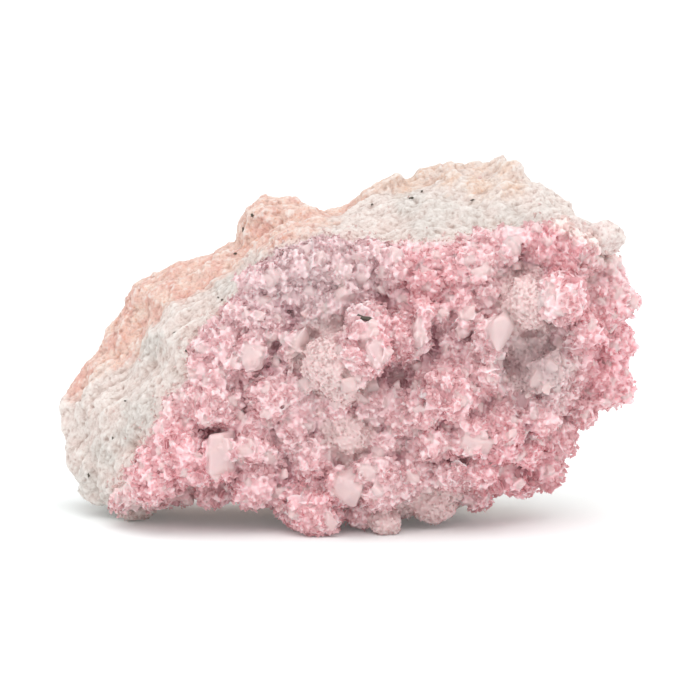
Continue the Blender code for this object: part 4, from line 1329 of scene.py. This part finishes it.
class MakeSpecks(bpy.types.Operator):
    """The few dark specks in the rock, and a dark lump that is painted shade in the knob's slit"""

    bl_idname = "specimen.make_specks"
    bl_label = "Dark specks"

    def execute(self, context):
        rng = np.random.default_rng(29)
        model = bmesh.new()
        bmesh.ops.create_icosphere(model, subdivisions=2, radius=0.5)
        ball = np.array([vertex.co for vertex in model.verts])
        faces = np.array([[vertex.index for vertex in face.verts] for face in model.faces])
        model.free()
        shape = []
        for number, (across, up, width, tall) in enumerate(SPECKS):
            start = seen(across, up, SIGHT_START)
            hits = [tree.ray_cast(start, SIGHT) for tree in (rock_tree(), crust_tree())]
            point, normal, _, _ = min((hit for hit in hits if hit[0] is not None), key=lambda hit: hit[3])
            side = Vector((1, 0, 0)).cross(normal).normalized()
            other = normal.cross(side)
            axes = np.array((other * width * 0.8, -side * tall * 0.8, normal * 0.35))
            lumps = ball * (1 + 0.25 * rng.normal(size=(len(ball), 1)))
            # The last is no oxide: a dark lump put in front as painted shade in the knob's slit.
            if number == len(SPECKS) - 1:
                axes = np.array(((width, 0, -0.2 * width), (0, 0.9, 0), (0, 0, tall)))
                point = point + normal - 0.4 * SIGHT
            shape.append(lumps @ axes + np.array(point - 0.12 * normal))
        joined = repeated(faces, len(SPECKS), len(ball))
        piece = mesh_object("dark_specks", np.concatenate(shape), joined, True)
        material, tree, shader = new_material("dark manganese oxide")
        place = add_node(tree, "ShaderNodeTexCoord").outputs["Object"]
        weathering = add_node(tree, "ShaderNodeTexNoise", inputs={
            "Vector": place, "Scale": 1 / (0.3 * MM), "Detail": 2.0, "Roughness": 0.5}).outputs[0]
        colour = layered(tree, "oxide_dark", [(weathering, (0.0, 1.0), (0.0, 1.0), "oxide_brown")])
        tree.links.new(colour, shader.inputs["Base Color"])
        shader.inputs["Roughness"].default_value = 0.75
        finish_piece(piece, material, "vein_rock")
        return {"FINISHED"}


class MakeStage(bpy.types.Operator):
    """Floor, soft studio light and camera"""

    bl_idname = "specimen.make_stage"
    bl_label = "Stage"

    def execute(self, context):
        scene = context.scene
        mesh = bpy.data.meshes.new("floor")
        mesh.from_pydata([(-3, -3, 0), (3, -3, 0), (3, 3, 0), (-3, 3, 0)], [], [(0, 1, 2, 3)])
        floor = bpy.data.objects.new("floor", mesh)
        scene.collection.objects.link(floor)
        mesh.materials.append(floor_shader())
        world = bpy.data.worlds.new("soft daylight")
        scene.world = world
        world.use_nodes = True
        world.node_tree.nodes["Background"].inputs["Color"].default_value = (1, 1, 1, 1)
        world.node_tree.nodes["Background"].inputs["Strength"].default_value = 0.85
        for name, azimuth, elevation, spread, strength in (
            ("overhead softbox", 25, 66, 60, 1.25),
            ("front fill", -25, 25, 60, 0.38),
        ):
            light = bpy.data.lights.new(name, "SUN")
            light.angle = math.radians(spread)
            light.energy = strength
            lamp = bpy.data.objects.new(name, light)
            a, e = math.radians(azimuth), math.radians(elevation)
            toward = Vector((math.sin(a) * math.cos(e), -math.cos(a) * math.cos(e), math.sin(e)))
            lamp.rotation_euler = (-toward).to_track_quat("-Z", "Y").to_euler()
            scene.collection.objects.link(lamp)
        camera = bpy.data.cameras.new("camera")
        viewer = bpy.data.objects.new("camera", camera)
        scene.collection.objects.link(viewer)
        distance = 1.2
        target = Vector((0.0004, 0.0023, 0.02976))
        way = Vector((0, math.cos(VIEW_TILT), -math.sin(VIEW_TILT)))
        viewer.location = target - way * distance
        viewer.rotation_euler = way.to_track_quat("-Z", "Y").to_euler()
        camera.sensor_width = 36
        camera.lens = 36 * distance / 0.12048
        camera.clip_end = 20
        scene.camera = viewer
        scene.view_settings.view_transform = "Standard"
        return {"FINISHED"}


class SpecimenPanel(bpy.types.Panel):
    """Sizes, colours and steps of the specimen"""

    bl_idname = "VIEW3D_PT_specimen"
    bl_label = "Rhodochrosite specimen"
    bl_space_type = "VIEW_3D"
    bl_region_type = "UI"
    bl_category = "Specimen"

    def draw(self, context):
        for group in (context.scene.specimen_sizes, context.scene.specimen_colours):
            for name in group.__annotations__:
                self.layout.prop(group, name)
        for step in STEPS:
            self.layout.operator(step.bl_idname)


STEPS = (MakeRock, MakeDruse, MakePlates, MakeFlakes, MakeBorder, MakeSpecks, MakeStage)
CLASSES = (SpecimenColours, SpecimenSizes, *STEPS, SpecimenPanel)


def register():
    """Add the classes, and their settings, to Blender."""
    for made in CLASSES:
        bpy.utils.register_class(made)
    bpy.types.Scene.specimen_colours = bpy.props.PointerProperty(type=SpecimenColours)
    bpy.types.Scene.specimen_sizes = bpy.props.PointerProperty(type=SpecimenSizes)


def unregister():
    """Take them out again."""
    del bpy.types.Scene.specimen_sizes
    del bpy.types.Scene.specimen_colours
    for made in reversed(CLASSES):
        bpy.utils.unregister_class(made)


def main():
    """Register the add-on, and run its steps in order."""
    register()
    for step in STEPS:
        group, name = step.bl_idname.split(".")
        getattr(getattr(bpy.ops, group), name)()


if __name__ == "__main__":
    main()
